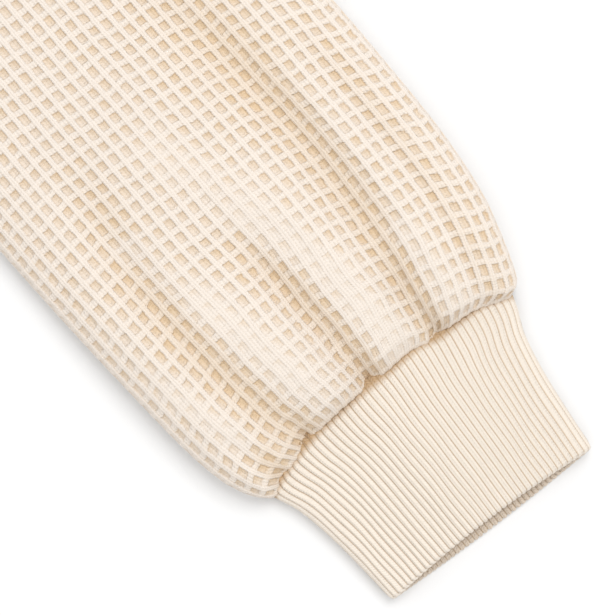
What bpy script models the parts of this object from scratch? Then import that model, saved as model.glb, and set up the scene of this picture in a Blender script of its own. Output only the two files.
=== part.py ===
"""Crew neck sweater in waffle knit, with ribbed neckband, hem and cuffs, laid flat.

The garment lies on its back with its front up.  X runs across it (+X is the
wearer's left), Y runs from hem to neck, Z is up, and the underside is at Z = 0.
All sizes are in metres.  Every cut piece is its own closed wall of knitted cloth.
"""

import math
from collections import namedtuple

import bmesh
import bpy
from mathutils import Vector

# ---------------------------------------------------------------- cloth
WALL = 0.0025                       # thickness of the knitted wall
SEAM_GAP = 0.0003                   # clearance between neighbouring pieces
LAYER_TOP = 2 * WALL + SEAM_GAP     # top of two layers that lie flat
EDGE_MIDDLE = LAYER_TOP / 2         # height of the fold between two flat layers
RIB_PITCH = 0.00238                 # one rib, crest to crest
RIB_DEPTH = 0.0006                  # groove below the crests of the ribs
EDGE_BEVEL = 0.0007                 # softened cut edge of a panel
FULL_TURN = 4.0                     # travel round a flattened tube, 2 for each layer

# ---------------------------------------------------------------- body outline
# Heights are measured from the lower edge of the hem band.
HEM_DEPTH = 0.060
HEM_HALF_WIDTH = 0.240
HEM_SEAM_HALF_WIDTH = 0.249
NECK_POINT_HEIGHT = 0.620           # where neckline and shoulder seam meet
NECK_HALF_WIDTH = 0.095
FRONT_NECK_DROP = 0.085
BACK_NECK_DROP = 0.020
UNDERARM = (0.262, 0.345)           # half width, height
SHOULDER_TIP = (0.285, 0.565)       # half width, height
NECK_STEPS = 8                      # straight stretches in each quarter of a neckline

SideRow = namedtuple("SideRow", "height half_width")
SIDE_ROWS = (                       # side edge, from the hem seam to the underarm
    SideRow(0.060, 0.2500),
    SideRow(0.068, 0.2575),
    SideRow(0.082, 0.2615),
    SideRow(0.110, 0.2635),
    SideRow(0.170, 0.2640),
    SideRow(0.260, 0.2630),
    SideRow(0.345, 0.2620),
)

# ---------------------------------------------------------------- neckband
BAND_DEPTH = 0.022
BAND_RISE = 0.018                   # rise of the band's fold above the neck point
BAND_HALF_WIDTH = 0.083             # at the band's free edge
BAND_TURN = 0.035                   # share of the arc in which the fold turns over
GARMENT_LENGTH = NECK_POINT_HEIGHT + BAND_RISE

# ---------------------------------------------------------------- sleeves
SLEEVE_FALL = math.radians(49.5)    # angle of the laid sleeve below horizontal
SLEEVE_LENGTH = 0.420               # armhole's middle to the cuff seam
CUFF_FALL = math.radians(51.7)
CUFF_LENGTH = 0.0575
CUFF_RECESS = 0.0027                # how far the upper layer draws back at the mouth
CUFF_BULGE = 0.0012                 # how far the lower layer bows out at the mouth
SEAM_SKEW = -math.tan(CUFF_FALL - SLEEVE_FALL)   # slant of the cuff seam across the sleeve
SEAM_HEIGHT = 0.0082                # height of the tube at the cuff seam
SEAM_EDGE = 0.0036                  # height of its side folds there
SEAM_HALF_WIDTH = 0.0580            # of the sleeve at the cuff seam
SEAM_SHIFT = -0.0016                # the cuff's middle, across the sleeve
SEAM_DIP = 0.0105                   # how far the seam bows up the sleeve on the upper layer
CUFF_GAP = 0.0005                   # clearance along the cuff, about 0.3 mm across its bowed seam
SEAM_DIP_START = 0.340              # place along the sleeve where its sections start to bow

SleeveRing = namedtuple("SleeveRing", "along lower upper height rounding edge skew")
SLEEVE_RINGS = (                    # sections across the sleeve, armhole to cuff seam
    SleeveRing(0.0005, 0.0800, 0.0800, LAYER_TOP, 0.0040, EDGE_MIDDLE, 0.950),
    SleeveRing(0.0600, 0.0792, 0.0792, 0.0072, 0.0080, 0.0030, 0.720),
    SleeveRing(0.1200, 0.0784, 0.0784, 0.0092, 0.0130, 0.0035, 0.400),
    SleeveRing(0.1800, 0.0778, 0.0778, 0.0118, 0.0180, 0.0041, 0.140),
    SleeveRing(0.2300, 0.0775, 0.0775, 0.0145, 0.0220, 0.0047, 0.000),
    SleeveRing(0.2800, 0.0768, 0.0774, 0.0175, 0.0250, 0.0054, 0.000),
    SleeveRing(0.3200, 0.0758, 0.0773, 0.0200, 0.0270, 0.0061, 0.000),
    SleeveRing(0.3560, 0.0742, 0.0762, 0.0218, 0.0280, 0.0066, 0.000),
    SleeveRing(0.3850, 0.0722, 0.0728, 0.0218, 0.0270, 0.0068, 0.000),
    SleeveRing(0.4020, 0.0694, 0.0680, 0.0200, 0.0230, 0.0066, 0.3 * SEAM_SKEW),
    SleeveRing(0.4120, 0.0658, 0.0642, 0.0172, 0.0180, 0.0060, 0.7 * SEAM_SKEW),
    SleeveRing(0.4170, 0.0625, 0.0615, 0.0136, 0.0130, 0.0052, 0.9 * SEAM_SKEW),
    SleeveRing(0.4200, SEAM_HALF_WIDTH - SEAM_SHIFT, SEAM_HALF_WIDTH + SEAM_SHIFT, SEAM_HEIGHT,
               0.0080, SEAM_EDGE, SEAM_SKEW),
)
RING_PLACES = (0.0005, 0.06, 0.12, 0.18, 0.23, 0.26, 0.29, 0.315, 0.336, 0.354, 0.370,
               0.384, 0.395, 0.404, 0.411, 0.416, 0.4185, 0.42)

# A fold runs along the sleeve through three places across it.  Its depth is
# negative for a valley and positive for a ridge, and spread is its half width.
Fold = namedtuple("Fold", "start finish first middle last depth spread")
LEFT_FOLDS = (
    Fold(0.235, 0.420, 0.0130, 0.0365, 0.0270, -0.0062, 0.0085),
    Fold(0.330, 0.420, -0.0110, -0.0020, -0.0030, -0.0056, 0.0065),
    Fold(0.280, 0.420, -0.0340, -0.0460, -0.0350, -0.0064, 0.0085),
    Fold(0.270, 0.420, 0.0600, 0.0630, 0.0490, -0.0030, 0.0060),
    Fold(0.380, 0.420, -0.0600, -0.0560, -0.0515, -0.0030, 0.0045),
    Fold(0.285, 0.412, -0.0120, 0.0140, 0.0200, 0.0026, 0.0090),
    Fold(0.345, 0.412, -0.0280, -0.0230, -0.0180, 0.0022, 0.0080),
    Fold(0.270, 0.412, 0.0390, 0.0470, 0.0400, 0.0022, 0.0070),
    Fold(0.060, 0.220, -0.0250, -0.0100, 0.0050, -0.0020, 0.0140),
)
RIGHT_FOLDS = (
    Fold(0.220, 0.420, -0.0200, -0.0320, -0.0230, -0.0058, 0.0085),
    Fold(0.310, 0.420, 0.0060, 0.0010, 0.0040, -0.0060, 0.0070),
    Fold(0.265, 0.420, 0.0400, 0.0440, 0.0330, -0.0056, 0.0080),
    Fold(0.290, 0.420, -0.0580, -0.0600, -0.0470, -0.0034, 0.0060),
    Fold(0.375, 0.420, 0.0610, 0.0570, 0.0510, -0.0030, 0.0045),
    Fold(0.280, 0.412, 0.0220, 0.0220, 0.0190, 0.0024, 0.0085),
    Fold(0.335, 0.412, -0.0120, -0.0150, -0.0110, 0.0024, 0.0080),
    Fold(0.070, 0.210, 0.0250, 0.0120, -0.0060, -0.0020, 0.0140),
)
FOLD_HEIGHT = 0.0085                # the tube's height over two flat layers that gives folds in full
SLEEVE_TOP_STEPS = 28               # points across the upper layer, less one
SLEEVE_UNDER_STEPS = 9              # the same for the layer that lies on the floor

CuffRing = namedtuple("CuffRing", "share half_width")
CUFF_RINGS = (                      # cuff outline, from the seam to the mouth
    CuffRing(0.00, 0.0572),
    CuffRing(0.16, 0.0532),
    CuffRing(0.44, 0.0497),
    CuffRing(0.78, 0.0473),
    CuffRing(1.00, 0.0462),
)
CUFF_ROUNDING = 0.0060
CUFF_HEIGHT = 0.0080

# ---------------------------------------------------------------- folds of the body
# Soft rises of the front over the back: centre across and up, half sizes, height.
Rise = namedtuple("Rise", "across height half_across half_height rise")
FRONT_RISES = (
    Rise(0.070, 0.085, 0.020, 0.022, 0.0024),
    Rise(0.150, 0.090, 0.024, 0.026, 0.0028),
    Rise(0.220, 0.086, 0.018, 0.022, 0.0022),
    Rise(0.000, 0.088, 0.022, 0.024, 0.0026),
    Rise(0.110, 0.240, 0.030, 0.120, 0.0022),
    Rise(0.200, 0.330, 0.022, 0.080, 0.0024),
    Rise(0.215, 0.450, 0.018, 0.060, 0.0022),
    Rise(0.130, 0.520, 0.040, 0.030, 0.0018),
)

WAFFLE_COLOUR = (0.93, 0.86, 0.74, 1.0)
RIB_COLOUR = (0.94, 0.88, 0.77, 1.0)
CLOTH_ROUGHNESS = 0.9


# ---------------------------------------------------------------- small helpers
def mix(first, second, share):
    """The value that lies the given share of the way from first to second."""
    return first + (second - first) * share


def ease(share):
    """A share from 0 to 1 that starts and ends softly."""
    share = min(1.0, max(0.0, share))
    return share * share * (3 - 2 * share)


def read_rows(rows, column, place):
    """Read one column of a table at a place in its first column, on a smooth curve."""
    count = len(rows)
    index = 0
    while index < count - 2 and place > rows[index + 1][0]:
        index += 1
    left, right = rows[index], rows[index + 1]
    span = right[0] - left[0]

    def slope(at):
        before, after = rows[max(at - 1, 0)], rows[min(at + 1, count - 1)]
        return (getattr(after, column) - getattr(before, column)) / (after[0] - before[0])

    share = min(1.0, max(0.0, (place - left[0]) / span))
    start, end = getattr(left, column), getattr(right, column)
    square, cube = share ** 2, share ** 3
    return ((2 * cube - 3 * square + 1) * start
            + (cube - 2 * square + share) * span * slope(index)
            + (3 * square - 2 * cube) * end
            + (cube - square) * span * slope(index + 1))


def garment_point(across, height, lift):
    """A point in the garment's frame, from its height above the hem's edge."""
    return Vector((across, height - GARMENT_LENGTH / 2, lift))


def layer_point(station, half_width, rounding, edge, face):
    """Place across a layer and its height, for a station from -1 to 1.

    The layer is flat at the height of face and turns down, or up, in a quarter
    of an ellipse to the height of edge at half_width.
    """
    flat = half_width - rounding
    turn = math.pi / 2 * math.hypot(rounding, face - edge) / math.sqrt(2)
    travel = abs(station) * (flat + turn)
    if travel <= flat:
        return math.copysign(travel, station), face
    angle = min(1.0, (travel - flat) / turn) * math.pi / 2
    across = flat + rounding * math.sin(angle)
    return math.copysign(across, station), edge + (face - edge) * math.cos(angle)


def stations(steps):
    """Even stations from -1 to 1."""
    return [2 * index / steps - 1 for index in range(steps + 1)]


def make_object(name, bm, colour):
    """Turn a bmesh into a named object with its own material, in the collection."""
    mesh = bpy.data.meshes.new(name)
    bm.to_mesh(mesh)
    bm.free()
    material = bpy.data.materials.new(name + "_cloth")
    material.use_nodes = True
    shader = material.node_tree.nodes["Principled BSDF"]
    shader.inputs["Base Color"].default_value = colour
    shader.inputs["Roughness"].default_value = CLOTH_ROUGHNESS
    shader.inputs["Metallic"].default_value = 0.0
    mesh.materials.append(material)
    mesh.shade_smooth()
    mesh.set_sharp_from_angle(angle=math.radians(50))
    piece = bpy.data.objects.new(name, mesh)
    collection.objects.link(piece)
    return piece


def thicken(piece):
    """Give an open surface, whose normals point out, the cloth's wall inwards."""
    wall = piece.modifiers.new("Wall", "SOLIDIFY")
    wall.thickness = WALL
    wall.offset = -1
    wall.use_rim = True
    return wall


# ---------------------------------------------------------------- front and back
def armhole_point(share):
    """A point of the straight armhole seam, 0 at the underarm, 1 at the shoulder."""
    return (mix(UNDERARM[0], SHOULDER_TIP[0], share), mix(UNDERARM[1], SHOULDER_TIP[1], share))


def neckline_point(place, half_width, drop, base):
    """A point of a neckline, for a place from 0 at its middle to 1 at its side.

    The line is a quarter of an ellipse in NECK_STEPS straight stretches, so the
    band and the panels share the same corners.
    """
    step = min(int(place * NECK_STEPS), NECK_STEPS - 1)
    corners = []
    for corner in (step, step + 1):
        angle = corner / NECK_STEPS * math.pi / 2
        corners.append((half_width * math.sin(angle), base - drop * math.cos(angle)))
    share = place * NECK_STEPS - step
    return (mix(corners[0][0], corners[1][0], share), mix(corners[0][1], corners[1][1], share))


def panel_rows(neck_drop, chest_steps, chest_share):
    """Inner and outer end of each row of half a panel, from hem seam to shoulder."""
    rows = [((0.0, row.height), (row.half_width, row.height)) for row in SIDE_ROWS]
    neck_foot = NECK_POINT_HEIGHT - neck_drop
    for step in range(1, chest_steps + 1):
        share = step / chest_steps
        rows.append(((0.0, mix(UNDERARM[1], neck_foot, share)), armhole_point(share * chest_share)))
    for step in range(1, NECK_STEPS + 1):
        share = step / NECK_STEPS
        inner = neckline_point(share, NECK_HALF_WIDTH, neck_drop, NECK_POINT_HEIGHT)
        rows.append((inner, armhole_point(mix(chest_share, 1.0, share))))
    return rows


def front_rise(across, height):
    """How far the front's folds lift it off the back at a point of the panel."""
    rise = 0.0
    for row in FRONT_RISES:
        distance = math.hypot((across - row.across) / row.half_across,
                              (height - row.height) / row.half_height)
        rise = max(rise, row.rise * ease(1 - distance / 1.6))
    return rise


def make_panel(name, neck_drop, chest_share, columns, top, relief):
    """One body panel: half a grid on the panel's rows, mirrored and thickened."""
    rows = panel_rows(neck_drop, 3, chest_share)
    bm = bmesh.new()
    bmesh.ops.create_grid(bm, x_segments=columns, y_segments=len(rows) - 1, size=0.5)
    for vertex in bm.verts:
        across_share = vertex.co.x + 0.5
        inner, outer = rows[round((vertex.co.y + 0.5) * (len(rows) - 1))]
        across = mix(inner[0], outer[0], across_share)
        height = mix(inner[1], outer[1], across_share)
        vertex.co = garment_point(across, height, top + relief(across, height))
    piece = make_object(name, bm, WAFFLE_COLOUR)
    mirror = piece.modifiers.new("Other half", "MIRROR")
    mirror.merge_threshold = 0.0001
    thicken(piece)
    bevel = piece.modifiers.new("Soft edge", "BEVEL")
    bevel.width = EDGE_BEVEL
    bevel.segments = 1
    bevel.limit_method = "ANGLE"
    bevel.angle_limit = math.radians(60)
    return piece


# ---------------------------------------------------------------- tubes of cloth
def ring_places(upper_steps, under_steps, ribbed):
    """Places once round a flattened tube: station, upper layer or not, rib crest or not."""
    places = []
    for index, station in enumerate(stations(upper_steps)):
        places.append((station, True, ribbed and index % 2 == 1))
    for station in stations(under_steps)[1:-1]:
        places.append((-station, False, False))
    return places


def travel(place):
    """How far round the tube a place lies: 0 to 2 over the top, 2 to 4 underneath."""
    station, upper, _ = place
    return 1 + station if upper else 3 - station


def wall_between(bm, first, second):
    """Quads between two rings with the same number of vertices."""
    for index in range(len(first)):
        after = (index + 1) % len(first)
        bm.faces.new((first[index], first[after], second[after], second[index]))


def rim_between(bm, outer, inner, outer_places, inner_places):
    """Triangles that close the end of a tube, between its outer and inner rings."""
    outer_travel = [travel(place) for place in outer_places] + [FULL_TURN]
    inner_travel = [travel(place) for place in inner_places] + [FULL_TURN]
    at, below = 0, 0
    while at < len(outer) or below < len(inner):
        corner = (outer[at % len(outer)], inner[below % len(inner)])
        outer_left, inner_left = at < len(outer), below < len(inner)
        if outer_left and (not inner_left or outer_travel[at + 1] <= inner_travel[below + 1]):
            at += 1
            bm.faces.new((corner[0], outer[at % len(outer)], corner[1]))
        else:
            below += 1
            bm.faces.new((corner[0], inner[below % len(inner)], corner[1]))


def make_tube(name, colour, rings, outer_places, inner_places, point):
    """A flattened tube of cloth: a loft outside, another inside, joined at both ends.

    point(place, ring, inset) gives a point of the tube, inset by the wall for
    its inside, which may have fewer places round it than the outside.
    """
    bm = bmesh.new()
    outer = [[bm.verts.new(point(place, ring, 0.0)) for place in outer_places] for ring in rings]
    inner = [[bm.verts.new(point(place, ring, WALL)) for place in inner_places] for ring in rings]
    for index in range(len(rings) - 1):
        wall_between(bm, outer[index], outer[index + 1])
        wall_between(bm, inner[index], inner[index + 1])
    for end in (0, -1):
        rim_between(bm, outer[end], inner[end], outer_places, inner_places)
    bmesh.ops.recalc_face_normals(bm, faces=bm.faces)
    return make_object(name, bm, colour)


# ---------------------------------------------------------------- sleeves
ARMHOLE_MIDDLE = armhole_point(0.5)
SLEEVE_ALONG = Vector((math.cos(SLEEVE_FALL), -math.sin(SLEEVE_FALL), 0.0))
SLEEVE_ACROSS = Vector((math.sin(SLEEVE_FALL), math.cos(SLEEVE_FALL), 0.0))
CUFF_ALONG = Vector((math.cos(CUFF_FALL), -math.sin(CUFF_FALL), 0.0))
CUFF_ACROSS = Vector((math.sin(CUFF_FALL), math.cos(CUFF_FALL), 0.0))


def sleeve_point(side, along, across, lift):
    """A point of a sleeve, from its place along and across the sleeve."""
    start = garment_point(ARMHOLE_MIDDLE[0], ARMHOLE_MIDDLE[1], lift)
    point = start + SLEEVE_ALONG * along + SLEEVE_ACROSS * across
    return Vector((side * point.x, point.y, point.z))


def cuff_point(side, along, across, lift):
    """A point of a cuff, from its place along and across the cuff."""
    start = sleeve_point(1, SLEEVE_LENGTH - SEAM_SKEW * SEAM_SHIFT, SEAM_SHIFT, lift)
    point = start + CUFF_ALONG * along + CUFF_ACROSS * across
    return Vector((side * point.x, point.y, point.z))


def fold_lift(folds, along, across):
    """Sum of the folds' heights at a place on the sleeve's upper layer."""
    lift = 0.0
    for fold in folds:
        share = (along - fold.start) / (fold.finish - fold.start)
        if share <= 0.0 or share > 1.0:
            continue
        towards = mix(fold.first, fold.middle, 2 * share)
        onwards = mix(fold.middle, fold.last, 2 * share - 1)
        middle = mix(towards, onwards, share)
        offset = (across - middle) / fold.spread
        lift += fold.depth * ease(2.2 * share) * math.exp(-offset * offset)
    return lift


def seam_dip(across):
    """How far up the sleeve the cuff seam of the upper layer lies at a place across."""
    return SEAM_DIP * max(0.0, 1 - ((across - SEAM_SHIFT) / SEAM_HALF_WIDTH) ** 2)


def sleeve_section(side, folds, place, along, inset):
    """A point of a sleeve's wall, at a place along the sleeve."""
    station, upper, _ = place
    ring = {name: read_rows(SLEEVE_RINGS, name, along) for name in SleeveRing._fields}
    half_width = (ring["upper"] if station > 0 else ring["lower"]) - inset
    face = ring["height"] - inset if upper else inset
    across, lift = layer_point(station, half_width, ring["rounding"] - inset, ring["edge"], face)
    bow = ease((along - SEAM_DIP_START) / (SLEEVE_LENGTH - SEAM_DIP_START))
    along -= ring["skew"] * across
    if upper:
        along -= seam_dip(across) * bow
        # Folds fade towards the side folds of the tube and shrink with its height at the seam.
        room = (lift - ring["edge"]) / (face - ring["edge"])
        fullness = min(1.0, (ring["height"] - LAYER_TOP) / FOLD_HEIGHT)
        lift += fold_lift(folds, along, across) * room * fullness
    return sleeve_point(side, along, across, lift)


def make_sleeve(name, side, folds):
    """One sleeve: a flattened tube that swells towards the cuff, with its folds."""
    places = ring_places(SLEEVE_TOP_STEPS, SLEEVE_UNDER_STEPS, False)
    return make_tube(name, WAFFLE_COLOUR, RING_PLACES, places, places,
                     lambda place, along, inset: sleeve_section(side, folds, place, along, inset))


# ---------------------------------------------------------------- ribbed bands
def make_band(name, rings, rib_count, plain_steps, under_steps, point):
    """A ribbed tube: its upper layer has ribs outside and is plain inside."""
    ribbed_places = ring_places(2 * rib_count, under_steps, True)
    plain_places = ring_places(plain_steps, under_steps, False)
    return make_tube(name, RIB_COLOUR, rings, ribbed_places, plain_places, point)


def cuff_section(side, place, share, inset):
    """A point of a cuff's wall, at a share of its length from the seam."""
    station, upper, crest = place
    half_width = read_rows(CUFF_RINGS, "half_width", share) - inset
    height = mix(SEAM_HEIGHT, CUFF_HEIGHT, share)
    face = height - inset if upper else inset
    across, lift = layer_point(station, half_width, CUFF_ROUNDING - inset, SEAM_EDGE, face)
    if upper and inset == 0.0 and not crest:
        lift -= RIB_DEPTH * (lift - SEAM_EDGE) / (face - SEAM_EDGE)
    arc = 1 - station * station
    start = CUFF_GAP - seam_dip(across + SEAM_SHIFT) if upper else CUFF_GAP
    reach = -CUFF_RECESS * arc if upper else CUFF_BULGE * arc
    along = mix(start, CUFF_LENGTH + reach, share)
    return cuff_point(side, along, across, lift)


def make_cuff(name, side):
    """One ribbed cuff, narrowing from the sleeve's seam to its mouth."""
    rings = [row.share for row in CUFF_RINGS]
    rib_count = round(2 * CUFF_RINGS[0].half_width / (RIB_PITCH * 1.26))
    return make_band(name, rings, rib_count, 20, 12,
                     lambda place, share, inset: cuff_section(side, place, share, inset))


def hem_section(place, share, inset):
    """A point of the hem band's wall, at a share of its depth from the seam."""
    station, upper, crest = place
    half_width = mix(HEM_SEAM_HALF_WIDTH, HEM_HALF_WIDTH, share) - inset
    face = LAYER_TOP - inset if upper else inset
    across, lift = layer_point(station, half_width, 0.0040 - inset, EDGE_MIDDLE, face)
    if upper and inset == 0.0 and not crest:
        lift -= RIB_DEPTH * (lift - EDGE_MIDDLE) / (face - EDGE_MIDDLE)
    return garment_point(across, mix(HEM_DEPTH - SEAM_GAP, 0.0, share), lift)


def band_section(place, share, inset):
    """A point of the neckband's wall, at a share of its depth from the seam."""
    station, upper, crest = place
    half_width = mix(NECK_HALF_WIDTH - SEAM_GAP, BAND_HALF_WIDTH, share) - inset
    base = NECK_POINT_HEIGHT + BAND_RISE * share
    seam_drop = FRONT_NECK_DROP if upper else BACK_NECK_DROP
    free_drop = seam_drop + BAND_RISE - BAND_DEPTH
    drop = mix(seam_drop - SEAM_GAP, free_drop, share)
    across, height = neckline_point(abs(station), half_width, drop, base)
    face = LAYER_TOP - inset if upper else inset
    turn = ease((1 - abs(station)) / BAND_TURN)
    lift = mix(EDGE_MIDDLE, face, turn)
    if upper and inset == 0.0 and not crest:
        lift -= RIB_DEPTH * turn
    return garment_point(math.copysign(across, station), height, lift)


# ---------------------------------------------------------------- the sweater
for old in list(bpy.data.objects):
    bpy.data.objects.remove(old, do_unlink=True)
collection = bpy.data.collections.new("crew_neck_sweater")
bpy.context.scene.collection.children.link(collection)

make_panel("back_panel", BACK_NECK_DROP, 0.80, 5, WALL, lambda across, height: 0.0)
make_panel("front_panel", FRONT_NECK_DROP, 0.50, 11, LAYER_TOP, front_rise)
make_sleeve("sleeve_left", 1, LEFT_FOLDS)
make_sleeve("sleeve_right", -1, RIGHT_FOLDS)
make_cuff("cuff_left", 1)
make_cuff("cuff_right", -1)

hem_ribs = round(2 * HEM_SEAM_HALF_WIDTH / RIB_PITCH)
make_band("hem_band", (0.0, 1.0), hem_ribs, 24, 12, hem_section)

front_arc = math.pi / 2 * math.hypot(NECK_HALF_WIDTH, FRONT_NECK_DROP) * math.sqrt(2)
neck_ribs = round(front_arc / RIB_PITCH)
make_band("neckband", (0.0, 1.0), neck_ribs, 2 * NECK_STEPS, 2 * NECK_STEPS, band_section)
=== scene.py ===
"""Looks of a crew neck sweater in cream waffle knit, laid flat and seen from straight above.

The camera frames the lower part of the wearer's left sleeve and its ribbed cuff.
Lengths are in metres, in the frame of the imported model: +X to the wearer's left,
+Y from hem to neck, +Z up, with the garment lying on Z = 0.
"""

from __future__ import annotations

import logging
import math
from dataclasses import dataclass
from enum import Enum
from typing import Callable, NamedTuple, Sequence

import bmesh
import bpy
import numpy as np
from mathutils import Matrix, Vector

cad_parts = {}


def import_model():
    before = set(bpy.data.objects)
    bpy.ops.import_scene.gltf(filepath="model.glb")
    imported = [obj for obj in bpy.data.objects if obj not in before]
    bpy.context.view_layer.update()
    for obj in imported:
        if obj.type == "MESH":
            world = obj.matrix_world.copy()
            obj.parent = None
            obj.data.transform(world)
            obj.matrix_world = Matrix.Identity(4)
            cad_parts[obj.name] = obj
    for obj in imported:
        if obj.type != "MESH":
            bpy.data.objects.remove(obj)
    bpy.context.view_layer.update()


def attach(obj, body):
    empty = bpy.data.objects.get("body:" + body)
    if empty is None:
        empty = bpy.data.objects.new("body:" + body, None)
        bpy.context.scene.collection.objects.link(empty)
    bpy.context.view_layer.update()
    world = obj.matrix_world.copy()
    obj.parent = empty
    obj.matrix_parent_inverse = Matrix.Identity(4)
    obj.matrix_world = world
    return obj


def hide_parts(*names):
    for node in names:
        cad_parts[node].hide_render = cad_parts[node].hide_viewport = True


log = logging.getLogger("sweater")
Array = np.ndarray
Tree = bpy.types.NodeTree
Socket = bpy.types.NodeSocket
Thing = bpy.types.Object
Material = bpy.types.Material

# Lengths that guard against dividing by nothing, join points, and stand for out of reach.
SHORTEST = 1e-7
NO_AREA = 1e-12
WELD = 0.00001
FAR = 1.0


# ---------------------------------------------------------------- choices and tables
class Cloth(Enum):
    """The two knits of the sweater, by the name of their material slot."""

    WAFFLE = "waffle_knit"
    RIB = "rib_knit"


class SleeveRing(NamedTuple):
    """A section across the sleeve: its half widths, height and side fold."""

    along: float
    lower: float
    upper: float
    height: float
    rounding: float
    edge: float
    skew: float


class Fold(NamedTuple):
    """A valley (negative depth) or ridge that runs along a sleeve."""

    start: float
    finish: float
    first: float
    middle: float
    last: float
    depth: float
    spread: float


class Rise(NamedTuple):
    """A soft rise of the front panel over the back."""

    across: float
    height: float
    half_across: float
    half_height: float
    rise: float


class Puff(NamedTuple):
    """A stretch of a sleeve that is blown full, so that the waffle's pits nearly close and their colour fades
    as a painted highlight.
    """

    start: float
    start_across: float
    finish: float
    finish_across: float
    spread: float
    strength: float


class Crease(NamedTuple):
    """A long shallow trough or ridge of a body panel, between two places."""

    start_x: float
    start_y: float
    end_x: float
    end_y: float
    depth: float
    spread: float


WALL = 0.0025
LAYER_TOP = 2 * WALL + 0.0003
EDGE_MIDDLE = LAYER_TOP / 2
RIB_PITCH = 0.00238

HEM_DEPTH = 0.060
HEM_HALF_WIDTH = 0.240
HEM_SEAM_HALF_WIDTH = 0.249
HEM_ROUNDING = 0.0040
NECK_POINT_HEIGHT = 0.620
NECK_HALF_WIDTH = 0.095
FRONT_NECK_DROP = 0.085
BACK_NECK_DROP = 0.020
BAND_DEPTH = 0.022
BAND_RISE = 0.018
BAND_HALF_WIDTH = 0.083
BAND_SIDE_WALL = 0.05
BAND_SIDE_TURN = 0.035
GARMENT_LENGTH = NECK_POINT_HEIGHT + BAND_RISE
UNDERARM = (0.262, 0.345)
SHOULDER_TIP = (0.285, 0.565)
ARMHOLE_MIDDLE = tuple(np.add(UNDERARM, SHOULDER_TIP) / 2)
SIDE_EDGE = ((0.060, 0.2500), (0.068, 0.2575), (0.082, 0.2615), (0.110, 0.2635),
             (0.170, 0.2640), (0.260, 0.2630), (0.345, 0.2620))

SLEEVE_FALL = math.radians(49.5)
SLEEVE_LENGTH = 0.420
CUFF_FALL = math.radians(51.7)
CUFF_LENGTH = 0.0575
CUFF_RECESS = 0.0027
CUFF_BULGE = 0.0012
SEAM_SKEW = -math.tan(CUFF_FALL - SLEEVE_FALL)
SEAM_HEIGHT = 0.0082
SEAM_EDGE = 0.0036
SEAM_HALF_WIDTH = 0.0580
SEAM_SHIFT = -0.0016
SEAM_DIP = 0.0105
SEAM_DIP_START = 0.340
FOLD_HEIGHT = 0.0085

SLEEVE_RINGS = tuple(SleeveRing(*row) for row in (
    (0.0005, 0.0800, 0.0800, LAYER_TOP, 0.0040, EDGE_MIDDLE, 0.950),
    (0.0600, 0.0792, 0.0792, 0.0072, 0.0080, 0.0030, 0.720),
    (0.1200, 0.0784, 0.0784, 0.0092, 0.0130, 0.0035, 0.400),
    (0.1800, 0.0778, 0.0778, 0.0118, 0.0180, 0.0041, 0.140),
    (0.2300, 0.0775, 0.0775, 0.0145, 0.0220, 0.0047, 0.000),
    (0.2800, 0.0768, 0.0774, 0.0175, 0.0250, 0.0054, 0.000),
    (0.3200, 0.0758, 0.0773, 0.0200, 0.0270, 0.0061, 0.000),
    (0.3560, 0.0742, 0.0762, 0.0218, 0.0280, 0.0066, 0.000),
    (0.3850, 0.0722, 0.0728, 0.0218, 0.0270, 0.0068, 0.000),
    (0.4020, 0.0694, 0.0680, 0.0200, 0.0230, 0.0066, 0.3 * SEAM_SKEW),
    (0.4120, 0.0658, 0.0642, 0.0172, 0.0180, 0.0060, 0.7 * SEAM_SKEW),
    (0.4170, 0.0625, 0.0615, 0.0136, 0.0130, 0.0052, 0.9 * SEAM_SKEW),
    (0.4200, SEAM_HALF_WIDTH - SEAM_SHIFT, SEAM_HALF_WIDTH + SEAM_SHIFT,
     SEAM_HEIGHT, 0.0080, SEAM_EDGE, SEAM_SKEW),
))
LEFT_FOLDS = tuple(Fold(*row) for row in (
    (0.225, 0.420, 0.0210, 0.0340, 0.0125, -0.0051, 0.0088),
    (0.215, 0.345, 0.0170, 0.0260, 0.0330, -0.0016, 0.0160),
    (0.368, 0.420, 0.0310, 0.0262, 0.0245, -0.0044, 0.0046),
    (0.318, 0.420, -0.0110, -0.0062, -0.0045, -0.0064, 0.0065),
    (0.262, 0.420, -0.0330, -0.0475, -0.0345, -0.0060, 0.0085),
    (0.270, 0.420, 0.0550, 0.0570, 0.0440, -0.0028, 0.0060),
    (0.380, 0.420, -0.0600, -0.0560, -0.0515, -0.0030, 0.0045),
    (0.285, 0.412, -0.0120, 0.0140, 0.0200, 0.0026, 0.0090),
    (0.345, 0.412, -0.0280, -0.0230, -0.0180, 0.0022, 0.0080),
    (0.270, 0.412, 0.0390, 0.0470, 0.0400, 0.0022, 0.0070),
    (0.060, 0.215, -0.0250, -0.0100, 0.0050, -0.0013, 0.0120),
    (0.015, 0.190, 0.0480, 0.0340, 0.0260, 0.0032, 0.0100),
    (0.030, 0.213, -0.0500, -0.0330, -0.0240, 0.0030, 0.0110),
    (0.020, 0.150, 0.0020, 0.0100, 0.0060, 0.0028, 0.0100),
))
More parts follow.
